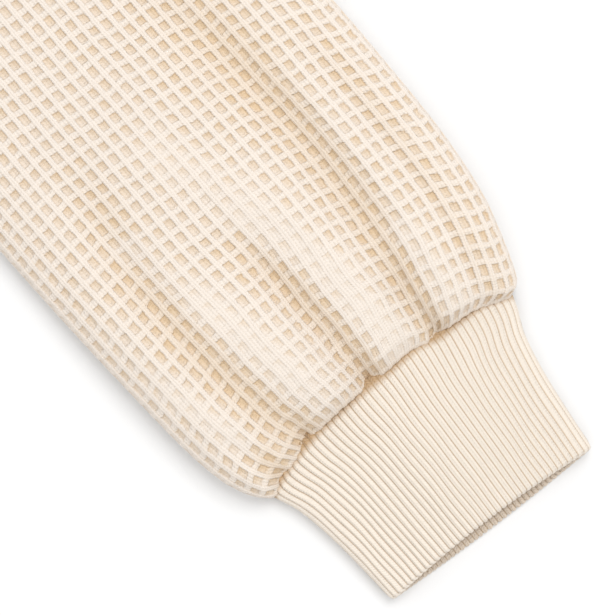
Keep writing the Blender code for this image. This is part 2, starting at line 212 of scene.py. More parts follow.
RIGHT_FOLDS = tuple(Fold(*row) for row in (
    (0.220, 0.420, -0.0200, -0.0320, -0.0230, -0.0058, 0.0085),
    (0.310, 0.420, 0.0060, 0.0010, 0.0040, -0.0060, 0.0070),
    (0.265, 0.420, 0.0400, 0.0440, 0.0330, -0.0056, 0.0080),
    (0.290, 0.420, -0.0580, -0.0600, -0.0470, -0.0034, 0.0060),
    (0.375, 0.420, 0.0610, 0.0570, 0.0510, -0.0030, 0.0045),
    (0.280, 0.412, 0.0220, 0.0220, 0.0190, 0.0024, 0.0085),
    (0.335, 0.412, -0.0120, -0.0150, -0.0110, 0.0024, 0.0080),
    (0.070, 0.210, 0.0250, 0.0120, -0.0060, -0.0013, 0.0120),
    (0.020, 0.205, 0.0520, 0.0400, 0.0320, 0.0030, 0.0105),
    (0.015, 0.180, -0.0440, -0.0340, -0.0200, 0.0032, 0.0100),
    (0.040, 0.190, -0.0080, -0.0020, 0.0060, 0.0026, 0.0110),
))
CUFF_OUTLINE = ((0.00, 0.0572), (0.16, 0.0532), (0.44, 0.0497), (0.78, 0.0473), (1.00, 0.0462))
SEAM_PULL = ((-0.060, 0.0004), (-0.050, 0.0024), (-0.030, 0.0029), (0.000, 0.0020), (0.0154, 0.0034),
             (0.0237, 0.0024), (0.033, 0.0043), (0.0427, 0.0058), (0.060, 0.0042))
LEFT_PUFFS = tuple(Puff(*row) for row in (
    (0.292, -0.0075, 0.325, 0.0020, 0.0095, 0.50),
    (0.328, 0.0020, 0.364, 0.0115, 0.0080, 0.85),
    (0.364, 0.0115, 0.404, 0.0130, 0.0078, 1.00),
    (0.312, -0.0400, 0.344, -0.0322, 0.0075, 0.45),
    (0.344, -0.0322, 0.391, -0.0233, 0.0070, 0.90),
    (0.362, -0.0623, 0.393, -0.0546, 0.0050, 0.75),
    (0.375, 0.0420, 0.404, 0.0400, 0.0060, 0.45),
))
RIGHT_PUFFS = tuple(Puff(*row) for row in (
    (0.300, 0.0200, 0.402, 0.0200, 0.0062, 0.90),
    (0.330, -0.0120, 0.400, -0.0130, 0.0056, 0.80),
    (0.310, -0.0460, 0.395, -0.0400, 0.0058, 0.75),
))
CUFF_ROUNDING = 0.0060
CUFF_HEIGHT = 0.0080
FRONT_RISES = tuple(Rise(*row) for row in (
    (0.070, 0.085, 0.020, 0.022, 0.0024),
    (0.150, 0.090, 0.024, 0.026, 0.0028),
    (0.220, 0.086, 0.018, 0.022, 0.0022),
    (0.000, 0.088, 0.022, 0.024, 0.0026),
    (0.110, 0.240, 0.030, 0.120, 0.0022),
    (0.200, 0.330, 0.022, 0.080, 0.0024),
    (0.215, 0.450, 0.018, 0.060, 0.0022),
    (0.130, 0.520, 0.040, 0.030, 0.0018),
))


# ---------------------------------------------------------------- small helpers
def ease(share: Array | float) -> Array:
    """Return shares from 0 to 1 that start and end softly."""
    share = np.clip(share, 0.0, 1.0)
    return share * share * (3 - 2 * share)


def mix(first: Array | float, second: Array | float, share: Array | float) -> Array:
    """Return the value that lies the given share of the way from first to second."""
    return first + (second - first) * share


def smooth_curve(places: Sequence[float], values: Sequence[float], wanted: Array) -> Array:
    """Read a smooth curve through a table's rows.

    Args:
        places: the rows' places, rising.
        values: the rows' values.
        wanted: where to read the curve. Beyond the ends it keeps the end's value.

    Returns:
        The curve's values at the wanted places.
    """
    x, y = np.asarray(places, float), np.asarray(values, float)
    before, after = np.maximum(np.arange(len(x)) - 1, 0), np.minimum(np.arange(len(x)) + 1, len(x) - 1)
    slopes = (y[after] - y[before]) / (x[after] - x[before])
    wanted = np.clip(wanted, x[0], x[-1])
    index = np.clip(np.searchsorted(x, wanted, side="left") - 1, 0, len(x) - 2)
    span = x[index + 1] - x[index]
    t = (wanted - x[index]) / span
    return ((2 * t**3 - 3 * t**2 + 1) * y[index] + (t**3 - 2 * t**2 + t) * span * slopes[index]
            + (3 * t**2 - 2 * t**3) * y[index + 1] + (t**3 - t**2) * span * slopes[index + 1])


def layer_point(station: Array, half_width: Array, rounding: Array, edge: Array,
                face: Array) -> tuple[Array, Array]:
    """Place points across one layer of a flattened tube.

    Args:
        station: places from -1 to 1 across the layer.
        half_width: half the tube's width.
        rounding: width of the rounded side.
        edge: height of the side fold.
        face: height of the layer's flat middle.

    Returns:
        The places across and the heights.
    """
    flat = half_width - rounding
    turn = math.pi / 2 * np.hypot(rounding, face - edge) / math.sqrt(2)
    travel = np.abs(station) * (flat + turn)
    angle = np.clip((travel - flat) / turn, 0.0, 1.0) * math.pi / 2
    across = np.where(travel <= flat, travel, flat + rounding * np.sin(angle))
    lift = np.where(travel <= flat, face, edge + (face - edge) * np.cos(angle))
    return np.copysign(across, station), lift


def beside(x: Array, y: Array, start: tuple[float, float],
           end: tuple[float, float]) -> tuple[Array, Array]:
    """Measure places against the straight line between two points.

    Args:
        x: first coordinate of the places.
        y: second coordinate of the places.
        start: where the line starts.
        end: where the line ends.

    Returns:
        The distance to the line, and the share of the line at the nearest point.
    """
    run = np.subtract(end, start)
    share = np.clip(((x - start[0]) * run[0] + (y - start[1]) * run[1]) / (run @ run), 0, 1)
    return np.hypot(x - start[0] - share * run[0], y - start[1] - share * run[1]), share


# Waves in each group, how much shorter and weaker each group is, and how they are scaled.
WAVES = 4
WAVE_SHRINK = 1.7
WAVE_FADE = 1.4
WAVE_LEVEL = 4.5
WAVE_SPREAD = (0.8, 1.3)


def wave_noise(seed: int, x: Array, y: Array, size: float, octaves: int = 4) -> Array:
    """Return smooth noise of about -1 to 1, made of a few waves in seeded directions.

    Args:
        seed: picks the waves.
        x: first coordinate.
        y: second coordinate.
        size: length of the longest wave.
        octaves: how many groups of shorter waves are added.
    """
    random = np.random.default_rng(seed)
    total = np.zeros(np.broadcast(x, y).shape)
    for octave in range(octaves):
        length = size / WAVE_SHRINK**octave
        for _ in range(WAVES):
            angle, phase = random.uniform(0, 2 * math.pi, 2)
            reach = 2 * math.pi / (length * random.uniform(*WAVE_SPREAD))
            wave = np.sin((x * math.cos(angle) + y * math.sin(angle)) * reach + phase)
            total += wave / WAVE_FADE**octave
    return total / WAVE_LEVEL


def table_curve(rows: Sequence[tuple[float, float]], wanted: Array) -> Array:
    """Read a smooth curve through a table of places and values."""
    return smooth_curve([row[0] for row in rows], [row[1] for row in rows], wanted)


def travelled(points: Array, axis: int) -> Array:
    """Return how far each point lies from the start of its line, the lines running along an axis."""
    steps = np.maximum(np.linalg.norm(np.diff(points, axis=axis), axis=2), SHORTEST)
    return np.insert(np.cumsum(steps, axis=axis), 0, 0.0, axis=axis)


def read_lines(travel: Array, points: Array, wanted: Array) -> Array:
    """Read points at wanted distances along lines.

    Args:
        travel: lines by points, each point's distance from the start of its line.
        points: lines by points by 3.
        wanted: lines by places, the distances to read at.

    Returns:
        The points that were read, lines by places by 3.
    """
    return np.stack([np.stack([np.interp(wish, way, line[:, axis]) for axis in range(3)], axis=1)
                     for wish, way, line in zip(wanted, travel, points)])


def corner_mean(values: Array) -> Array:
    """Return the mean at the four corners of each face of a grid."""
    return (values[1:, 1:] + values[:-1, :-1] + values[1:, :-1] + values[:-1, 1:]) / 4


def seam_line(across: Array) -> Array:
    """Return how far up the sleeve the cuff seam of the upper layer lies at places across."""
    dip = SEAM_DIP * np.clip(1 - ((across - SEAM_SHIFT) / SEAM_HALF_WIDTH) ** 2, 0, None)
    return dip + table_curve(SEAM_PULL, across)


def fallen(along: Array | float, across: Array | float, fall: float) -> tuple[Array, Array]:
    """Turn places along and across something that falls at an angle into places of the garment."""
    return (along * math.cos(fall) + across * math.sin(fall),
            across * math.cos(fall) - along * math.sin(fall))


def surface_normals(points: Array) -> Array:
    """Return unit normals of a grid of points, rows by columns by 3."""
    normals = np.cross(np.gradient(points, axis=1), np.gradient(points, axis=0))
    return normals / np.maximum(np.linalg.norm(normals, axis=2, keepdims=True), NO_AREA)


def garment_plan(across: Array, height: Array, lift: Array) -> Array:
    """Return points from places across the garment, above its lower edge, and up."""
    across, height, lift = np.broadcast_arrays(across, height, lift)
    return np.stack((across, height - GARMENT_LENGTH / 2, lift), axis=-1)


# ---------------------------------------------------------------- finishes
def feed(tree: Tree, target: Socket, value: object) -> None:
    """Feed an input from a signal or a socket, or set it to a plain value."""
    source = value.socket if isinstance(value, Signal) else value
    if isinstance(source, Socket):
        tree.links.new(source, target)
    else:
        target.default_value = source


def add_node(tree: Tree, kind: str, feeds: dict[str | int, object] | None = None,
             **settings: object) -> bpy.types.Node:
    """Add a shader node, give it its settings and feed its inputs.

    Args:
        tree: the tree that gets the node.
        kind: the kind of node.
        feeds: what feeds each named or numbered input.
        **settings: the node's own settings.

    Returns:
        The new node.
    """
    node = tree.nodes.new("ShaderNode" + kind)
    for name, value in settings.items():
        setattr(node, name, value)
    for name, value in (feeds or {}).items():
        feed(tree, node.inputs[name], value)
    return node


@dataclass(frozen=True)
class Signal:
    """A number that runs through a shader's nodes, with the usual arithmetic."""

    tree: Tree
    socket: Socket

    def through(self, operation: str, *values: object, reverse: bool = False) -> Signal:
        """Pass the number and others through a Math node, in reverse order if asked."""
        feeds = (*values, self) if reverse else (self, *values)
        node = add_node(self.tree, "Math", dict(enumerate(feeds)), operation=operation)
        return Signal(self.tree, node.outputs[0])

    def __add__(self, other: object) -> Signal:
        """Return the sum of the number and another."""
        return self.through("ADD", other)

    def __sub__(self, other: object) -> Signal:
        """Return the number less another."""
        return self.through("SUBTRACT", other)

    def __rsub__(self, other: float) -> Signal:
        """Return another number less this one."""
        return self.through("SUBTRACT", other, reverse=True)

    def __mul__(self, other: object) -> Signal:
        """Return the product of the number and another."""
        return self.through("MULTIPLY", other)

    def __truediv__(self, other: object) -> Signal:
        """Return the number divided by another."""
        return self.through("DIVIDE", other)

    def step(self, low: float, high: float, at_low: float = 0.0, at_high: float = 1.0) -> Signal:
        """Pass softly from at_low to at_high while the number goes from low to high."""
        feeds = {"Value": self, "From Min": low, "From Max": high, "To Min": at_low, "To Max": at_high}
        node = add_node(self.tree, "MapRange", feeds, interpolation_type="SMOOTHSTEP")
        return Signal(self.tree, node.outputs[0])

    def line(self, width: float) -> Signal:
        """Return a soft line where the number is zero."""
        return self.through("ABSOLUTE").step(0.0, width, 1.0, 0.0)


def open_group(name: str, takes: dict[str, float | None]) -> tuple[Tree, dict[str, Signal]]:
    """Start a node group.

    Args:
        name: the group's name.
        takes: its inputs and their defaults. One without a default is a vector.

    Returns:
        The group's tree, and its inputs as signals.
    """
    tree = bpy.data.node_groups.new(name, "ShaderNodeTree")
    for label, value in takes.items():
        kind = "NodeSocketVector" if value is None else "NodeSocketFloat"
        socket = tree.interface.new_socket(name=label, in_out="INPUT", socket_type=kind)
        if value is not None:
            socket.default_value = value
    start = tree.nodes.new("NodeGroupInput")
    return tree, {label: Signal(tree, start.outputs[label]) for label in takes}


def close_group(tree: Tree, gives: dict[str, Signal]) -> Tree:
    """Give a node group its outputs, and return it."""
    for label in gives:
        tree.interface.new_socket(name=label, in_out="OUTPUT", socket_type="NodeSocketFloat")
    end = tree.nodes.new("NodeGroupOutput")
    for label, signal in gives.items():
        feed(tree, end.inputs[label], signal)
    return tree


@dataclass(frozen=True)
class StitchGroup:
    """Node group of knitted stitches: columns of slanted loops with soft fuzz."""

    name: str = "Knitted stitches"
    fuzz_scale: float = 2600.0
    fuzz_detail: float = 3.0
    leg_share: float = 0.6

    def tree(self) -> Tree:
        """Build the group once, and return it.

        Returns:
            A group that takes the cloth's own place, a stitch's width and height, the
            slant and the fuzz, and gives a height and a soft mottle for the yarn's colour.
        """
        if self.name in bpy.data.node_groups:
            return bpy.data.node_groups[self.name]
        tree, takes = open_group(self.name, {"Place": None, "Width": 0.0012, "Height": 0.0010,
                                             "Slant": 0.6, "Fuzz": 0.3})
        split = add_node(tree, "SeparateXYZ", {0: takes["Place"]})
        column = Signal(tree, split.outputs[0]) / takes["Width"]
        row = Signal(tree, split.outputs[1]) / takes["Height"]
        aside = (column.through("FRACT") - 0.5).through("ABSOLUTE")
        leg = (aside * (2 * math.pi)).through("SINE")
        loop = ((row + aside * takes["Slant"]) * (2 * math.pi)).through("SINE") * 0.5 + 0.5
        stitch = leg * self.leg_share + loop * (1 - self.leg_share)
        room = add_node(tree, "TexCoord").outputs["Object"]
        noise = add_node(tree, "TexNoise", {"Vector": room, "Scale": self.fuzz_scale,
                                           "Detail": self.fuzz_detail})
        mottle = Signal(tree, noise.outputs[0])
        return close_group(tree, {"Stitch Height": stitch + mottle * takes["Fuzz"], "Mottle": mottle})


@dataclass(frozen=True)
class CellGroup:
    """Node group of the waffle's cells: ridges, bars, and pits, with painted shade in the pits' far corners
    and a painted shadow line at their edges.
    """

    name: str = "Waffle cells"
    line_width: float = 0.060
    line_inset: float = 0.02
    ridge_line: float = 0.55
    ridge_line_width: float = 0.048
    ridge_line_inset: float = 0.01
    ridge_rim: float = 0.03
    ridge_round: tuple[float, float] = (-0.20, -0.02)
    ridge_shade: float = 0.95
    bar_shade: float = 0.93
    rim: float = 0.045
    lit_line: float = 0.25
    lit_corner: float = -0.45
    dark_corner: float = 0.42
    loose_scale: float = 480.0
    loose_detail: float = 2.0
    loose_reach: float = 0.0011

    def tree(self) -> Tree:
        """Build the group once, and return it.

        Returns:
            A group that takes the cloth's own place, a cell's two sides and the half
            widths of ridge and bar, and gives the crest with painted shade on the ridges'
            sides and the bars, the painted shadow line at the pits' edges, a tone for each
            cell, and how near a place is to the painted shaded corner of its pit.
        """
        if self.name in bpy.data.node_groups:
            return bpy.data.node_groups[self.name]
        tree, takes = open_group(self.name, {"Place": None, "Across": WAFFLE.across, "Along": WAFFLE.along,
                                             "Ridge": WAFFLE.ridge_half, "Bar": WAFFLE.bar_half})
        loose = add_node(tree, "TexNoise", {"Vector": takes["Place"], "Scale": self.loose_scale,
                                           "Detail": self.loose_detail})
        centred = add_node(tree, "VectorMath", {0: loose.outputs["Color"], 1: (0.5,) * 3},
                           operation="SUBTRACT")
        moved = add_node(tree, "VectorMath", {0: centred.outputs[0], 1: (self.loose_reach,) * 3,
                                              2: takes["Place"]}, operation="MULTIPLY_ADD")
        split = add_node(tree, "SeparateXYZ", {0: moved.outputs[0]})
        depths, floors, aside = [], [], []
        for axis, pitch, half in ((0, "Across", "Ridge"), (1, "Along", "Bar")):
            cell = Signal(tree, split.outputs[axis]) / takes[pitch]
            floors.append(cell.through("FLOOR"))
            aside.append(cell.through("FRACT") - 0.5)
            depths.append((0.5 - takes[half]) - aside[-1].through("ABSOLUTE"))
        inside = depths[0].through("MINIMUM", depths[1])
        # Painted shade: each pit is darker towards the corner that the ridges shadow from the light at the
        # upper right.
        shaded = (aside[0] + aside[1]).step(self.lit_corner, self.dark_corner)
        # Painted shade: a ridge is a little darker towards its sides, and the lower bars are darker than the
        # ridges.
        rounded = depths[0].step(*self.ridge_round, 1.0, self.ridge_shade)
        ridge = depths[0].step(-self.ridge_rim, self.ridge_rim, 1.0, 0.0)
        crest = inside.step(-self.rim, self.rim, 1.0, 0.0) * (ridge * rounded + (1.0 - ridge) * self.bar_shade)
        # Painted shadow lines: around each pit's rim and beside each ridge, where the ridges would cast
        # shadow, strongest at the shaded corner.
        around = (inside - self.line_inset).line(self.line_width)
        ridge_shadow_line = (depths[0] - self.ridge_line_inset).line(self.ridge_line_width) * self.ridge_line
        line = around.through("MAXIMUM", ridge_shadow_line) * (shaded * (1 - self.lit_line) + self.lit_line)
        corner = add_node(tree, "CombineXYZ", {0: floors[0], 1: floors[1]})
        chance = add_node(tree, "TexWhiteNoise", {"Vector": corner.outputs[0]}, noise_dimensions="2D")
        return close_group(tree, {"Crest": crest, "Line": line, "Tone": Signal(tree, chance.outputs["Value"]),
                                  "Corner": shaded})


@dataclass(frozen=True)
class KnitFinish:
    """A matte knitted cotton: light on its crests, with painted tan shade where the cloth lies deep."""

    name: str
    slot: Cloth
    crest: tuple[float, float, float]
    deep: tuple[float, float, float]
    stitch_width: float
    stitch_height: float
    slant: float
    bump: float
    mottle: float = 0.05
    fuzz: float = 0.5
    roughness: float = 0.92
    sheen: float = 0.15
    sheen_roughness: float = 0.5
    shine: float = 0.25
    groove_start: float = 0.02
    groove_half: float = 0.14
    tint_scale: float = 14.0
    tint_detail: float = 4.0
    stitch_gap_shade: float = 0.30
    stretch_and_highlight: float = 1.75
    deepest: float = 1.20
    cell_tone: float = 0.55
    pit_light: float = 0.35
    closing: float = 0.75
    shade_and_seam_tint: float = 1.2
    cell_bump: float = 0.0003
    shadow_line_colour: tuple[float, float, float] = (0.62, 0.42, 0.23)
    shadow_line_strength: float = 0.29
    seam_dark: float = 0.36
    darkest: float = -0.5

    def waffle_levels(self, tree: Tree, place: Socket,
                      form: Signal) -> tuple[Signal, Signal, Signal]:
        """Paint the waffle's cells.

        Args:
            tree: the material's tree.
            place: the cloth's own place.
            form: how full the cloth is, 0.5 as a rule. Below it the colour carries painted shade and the
                body's darker seams, above it a painted highlight that fades the pits.

        Returns:
            How near the colour is to the crests', the pits' painted shadow lines, and the ridges' height.
        """
        cells = add_node(tree, "Group", {"Place": place}, node_tree=CellGroup().tree())
        crest, line, tone, corner = (Signal(tree, cells.outputs[name])
                                     for name in ("Crest", "Line", "Tone", "Corner"))
        # Painted highlight, partly real stretch: where the form is high the pits' tan fades and they nearly
        # close.
        shallow = (form * -self.stretch_and_highlight + (1.0 + self.stretch_and_highlight / 2)).through("MINIMUM", self.deepest)
        closed = (1.0 - shallow) * self.closing
        # Painted shade in the pits, strongest at their shaded corner.
        shade = (corner * (1 - self.pit_light) + self.pit_light - closed).through("MAXIMUM", 0.0)
        pit = (1.0 - crest) * (shade * (tone * self.cell_tone + (1.0 - self.cell_tone / 2)))
        # Painted shade where the form falls below 0.5: fold valleys, notches, seam rows, tucks and the
        # underside; the body's seam lines darken here too.
        shade_and_seam_tint = ((0.5 - form) * self.shade_and_seam_tint).through("MAXIMUM", 0.0)
        return 1.0 - (pit + shade_and_seam_tint), line * shallow, crest * (self.cell_bump / self.bump) * shallow

    def rib_level(self, tree: Tree, place: Socket, form: Signal) -> Signal:
        """Return how near the rib's colour is to its crests', with painted shade in the grooves, darker at
        the seam and inside the band.
        """
        across = Signal(tree, add_node(tree, "SeparateXYZ", {0: place}).outputs[0])
        aside = (across.through("FRACT") - 0.5).through("ABSOLUTE")
        # Painted shade in the rib grooves; where the form falls below 1 the colour darkens further, as
        # painted shadow under the sleeve's end at the cuff seam and as shade inside the band.
        return form * aside.step(self.groove_start, self.groove_half) + (form - 1.0) * self.seam_dark

    def material(self) -> Material:
        """Build the finish once, and return its material."""
        if self.name in bpy.data.materials:
            return bpy.data.materials[self.name]
        material = bpy.data.materials.new(self.name)
        material.use_nodes = True
        tree = material.node_tree
        place = add_node(tree, "UVMap", uv_map="Cloth").outputs[0]
        stitches = add_node(tree, "Group", {"Place": place, "Width": self.stitch_width,
                                            "Height": self.stitch_height, "Slant": self.slant,
                                            "Fuzz": self.fuzz}, node_tree=StitchGroup().tree())
        # The 'relief' attribute holds painted light and shade: low in valleys, notches, tucks, seams and
        # underneath, high on puffs and side edges.
        form = Signal(tree, add_node(tree, "Attribute", attribute_name="relief").outputs["Fac"])
        height = Signal(tree, stitches.outputs["Stitch Height"])
        # Painted shade: the colour darkens where the stitches sit low, in the gaps between loops; the fuzz
        # adds random variation.
        gaps = (1.0 - height) * self.stitch_gap_shade
        if self.slot is Cloth.WAFFLE:
            level, line, ridge = self.waffle_levels(tree, place, form)
            height = height + ridge
        else:
            level, line = self.rib_level(tree, place, form), None
        level = (level - gaps).through("MAXIMUM", self.darkest).through("MINIMUM", 1.0)
        # Painted shade: the colour goes from the crest colour to a darker tan in pits, grooves and folds,
        # where shade would fall.
        blend = add_node(tree, "Mix", {"A": (*self.deep, 1.0), "B": (*self.crest, 1.0), "Factor": level},
                         data_type="RGBA", clamp_factor=False)
        where = add_node(tree, "TexCoord").outputs["Object"]
        clouds = add_node(tree, "TexNoise", {"Vector": where, "Scale": self.tint_scale,
                                            "Detail": self.tint_detail})
        shade = (Signal(tree, stitches.outputs["Mottle"]) + clouds.outputs[0] - 1.0) * self.mottle + 1.0
        colour = add_node(tree, "VectorMath", {0: blend.outputs["Result"], "Scale": shade},
                          operation="SCALE").outputs[0]
        # Painted shadow lines, in brown, along the pits' rims and the ridges' sides.
        if line is not None:
            edging = add_node(tree, "Mix", {"Factor": line * self.shadow_line_strength, "A": colour,
                                            "B": (*self.shadow_line_colour, 1.0)}, data_type="RGBA")
            colour = edging.outputs["Result"]
        bump = add_node(tree, "Bump", {"Strength": 1.0, "Distance": self.bump, "Height": height})
        shader = tree.nodes["Principled BSDF"]
        for name, value in (("Base Color", colour), ("Normal", bump.outputs[0]),
                            ("Roughness", self.roughness), ("Sheen Weight", self.sheen),
                            ("Sheen Roughness", self.sheen_roughness),
                            ("Specular IOR Level", self.shine)):
            feed(tree, shader.inputs[name], value)
        return material


WAFFLE_FINISH = KnitFinish("Waffle knit cotton", Cloth.WAFFLE, (0.801, 0.721, 0.643), (0.753, 0.612, 0.462),
                           stitch_width=0.002625, stitch_height=0.0011, slant=0.7, bump=0.00032)
RIB_FINISH = KnitFinish("Rib knit cotton", Cloth.RIB, (0.816, 0.738, 0.646), (0.612, 0.472, 0.338),
                        stitch_width=1.0, stitch_height=0.00095, slant=2.0, bump=0.00034)
PLAIN_FINISH = KnitFinish("Inside of the knit", Cloth.WAFFLE, (0.78, 0.70, 0.62), (0.70, 0.58, 0.45),
                          stitch_width=0.0016, stitch_height=0.0014, slant=0.8, bump=0.0003)


# ---------------------------------------------------------------- making meshes
class ClothPiece:
    """Base of the garment's pieces: turns grids of points into dressed objects."""

    @staticmethod
    def grid(name: str, points: Array, cloth: Array, relief: Array, rolled: bool) -> Thing:
        """Make an object from a grid of points.

        Args:
            name: the object's name.
            points: rows by columns by 3.
            cloth: rows by columns by 2, places in the flat cloth, kept as the UV map.
            relief: rows by columns, 1 on crests and 0 in the deepest places: painted light and shade, with
                the body's darker seams.
            rolled: whether the last column joins the first, as on a tube.

        Returns:
            The new object, linked to the scene.
        """
        rows, columns = points.shape[:2]
        bm = bmesh.new()
        bmesh.ops.create_grid(bm, x_segments=columns - 1, y_segments=rows - 1, size=1.0)
        uv_layer = bm.loops.layers.uv.new("Cloth")
        relief_layer = bm.verts.layers.float.new("relief")
        flat_points, flat_cloth = points.reshape(-1, 3), cloth.reshape(-1, 2)
        flat_relief = np.clip(relief, 0, 1).ravel()
        bm.verts.ensure_lookup_table()
        for index, vertex in enumerate(bm.verts):
            vertex.co = flat_points[index]
            vertex[relief_layer] = flat_relief[index]
        for face in bm.faces:
            face.smooth = True
            for loop in face.loops:
                loop[uv_layer].uv = flat_cloth[loop.vert.index]
        if rolled:
            bmesh.ops.remove_doubles(bm, verts=bm.verts, dist=WELD)
        return ClothPiece.link(name, bm)

    @staticmethod
    def link(name: str, bm: bmesh.types.BMesh) -> Thing:
        """Turn a bmesh into an object in the scene."""
        mesh = bpy.data.meshes.new(name)
        bm.to_mesh(mesh)
        bm.free()
        piece = bpy.data.objects.new(name, mesh)
        bpy.context.scene.collection.objects.link(piece)
        return piece

    @staticmethod
    def dress(piece: Thing, finish: KnitFinish, node: str) -> None:
        """Give a piece its finish, its body and the solid that it stands for."""
        piece.data.materials.clear()
        piece.data.materials.append(finish.material())
        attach(piece, "root")
        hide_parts(node)
        log.info("%s: %d faces", piece.name, len(piece.data.polygons))


# ---------------------------------------------------------------- the waffle's relief
@dataclass(frozen=True)
class Waffle:
    """The waffle's ridges along the cloth and the lower bars between them."""

    across: float = 0.00525
    along: float = 0.0062
    ridge: float = 0.00105
    bar: float = 0.00080
    ridge_half: float = 0.235
    bar_half: float = 0.205
    softness: float = 0.040
    crossing: float = 0.10
    sag: float = 0.12
    sunk: float = 0.0007

    def crest(self, share: Array, half: float) -> Array:
        """Return 1 on the crest at whole shares, falling to 0 past its half width."""
        away = np.abs(share - np.round(share))
        return 1.0 - ease((away - half + self.softness) / (2 * self.softness))

    def height(self, a: Array, b: Array) -> Array:
        """Return the relief's height in metres.

        Args:
            a: places across in cells, whole on each ridge.
            b: places along in cells, whole on each bar.
        """
        ridge, bar = self.crest(a, self.ridge_half), self.crest(b, self.bar_half)
        sagged = 1 - self.sag + self.sag * np.abs(np.sin(math.pi * a))
        crossed = 1 - self.crossing + self.crossing * bar
        return ridge * self.ridge * crossed + (1 - ridge) * bar * self.bar * sagged


WAFFLE = Waffle()
# Where a cell's grid lines lie, in shares of the cell.
FINE_ACROSS = (0.0, 0.190, 0.280, 0.5, 0.720, 0.810)
FINE_ALONG = (0.0, 0.160, 0.250, 0.5, 0.750, 0.840)


# Half widths, in cells, of a ridge's middle and of a pit's middle.
NEAR_RIDGE = 0.2
PIT_MIDDLE = 0.05


def cell_jitter(seed: int, a: Array, b: Array) -> Array:
    """Return a random offset of about -1 to 1 for the bar at each place of the waffle.

    Args:
        seed: picks the offsets.
        a: places across in cells. A ridge takes the mean of the bars beside it.
        b: places along in cells. The middle of a pit takes the mean of its two bars.
    """
    a, b = np.broadcast_arrays(a, b)
    table = np.random.default_rng(seed).uniform(-1, 1, (int(a.max()) + 3, int(b.max()) + 3))
    column = np.floor(a).astype(int) + 1
    near_ridge = np.abs(a - np.round(a)) < NEAR_RIDGE
    beside = np.where(near_ridge, np.round(a).astype(int), column)
    other = np.where(near_ridge, beside + 1, column)
    below, above = (np.floor(b + 0.5 + step).astype(int) for step in (-PIT_MIDDLE, PIT_MIDDLE))
    return (table[beside, below] + table[other, below] + table[beside, above] + table[other, above]) / 4


def cell_places(cells: int, steps: Sequence[float]) -> Array:
    """Return the places of a grid's lines, the same steps in each of the cells, and the end."""
    return np.append(np.add.outer(np.arange(cells), np.asarray(steps)).ravel(), cells)


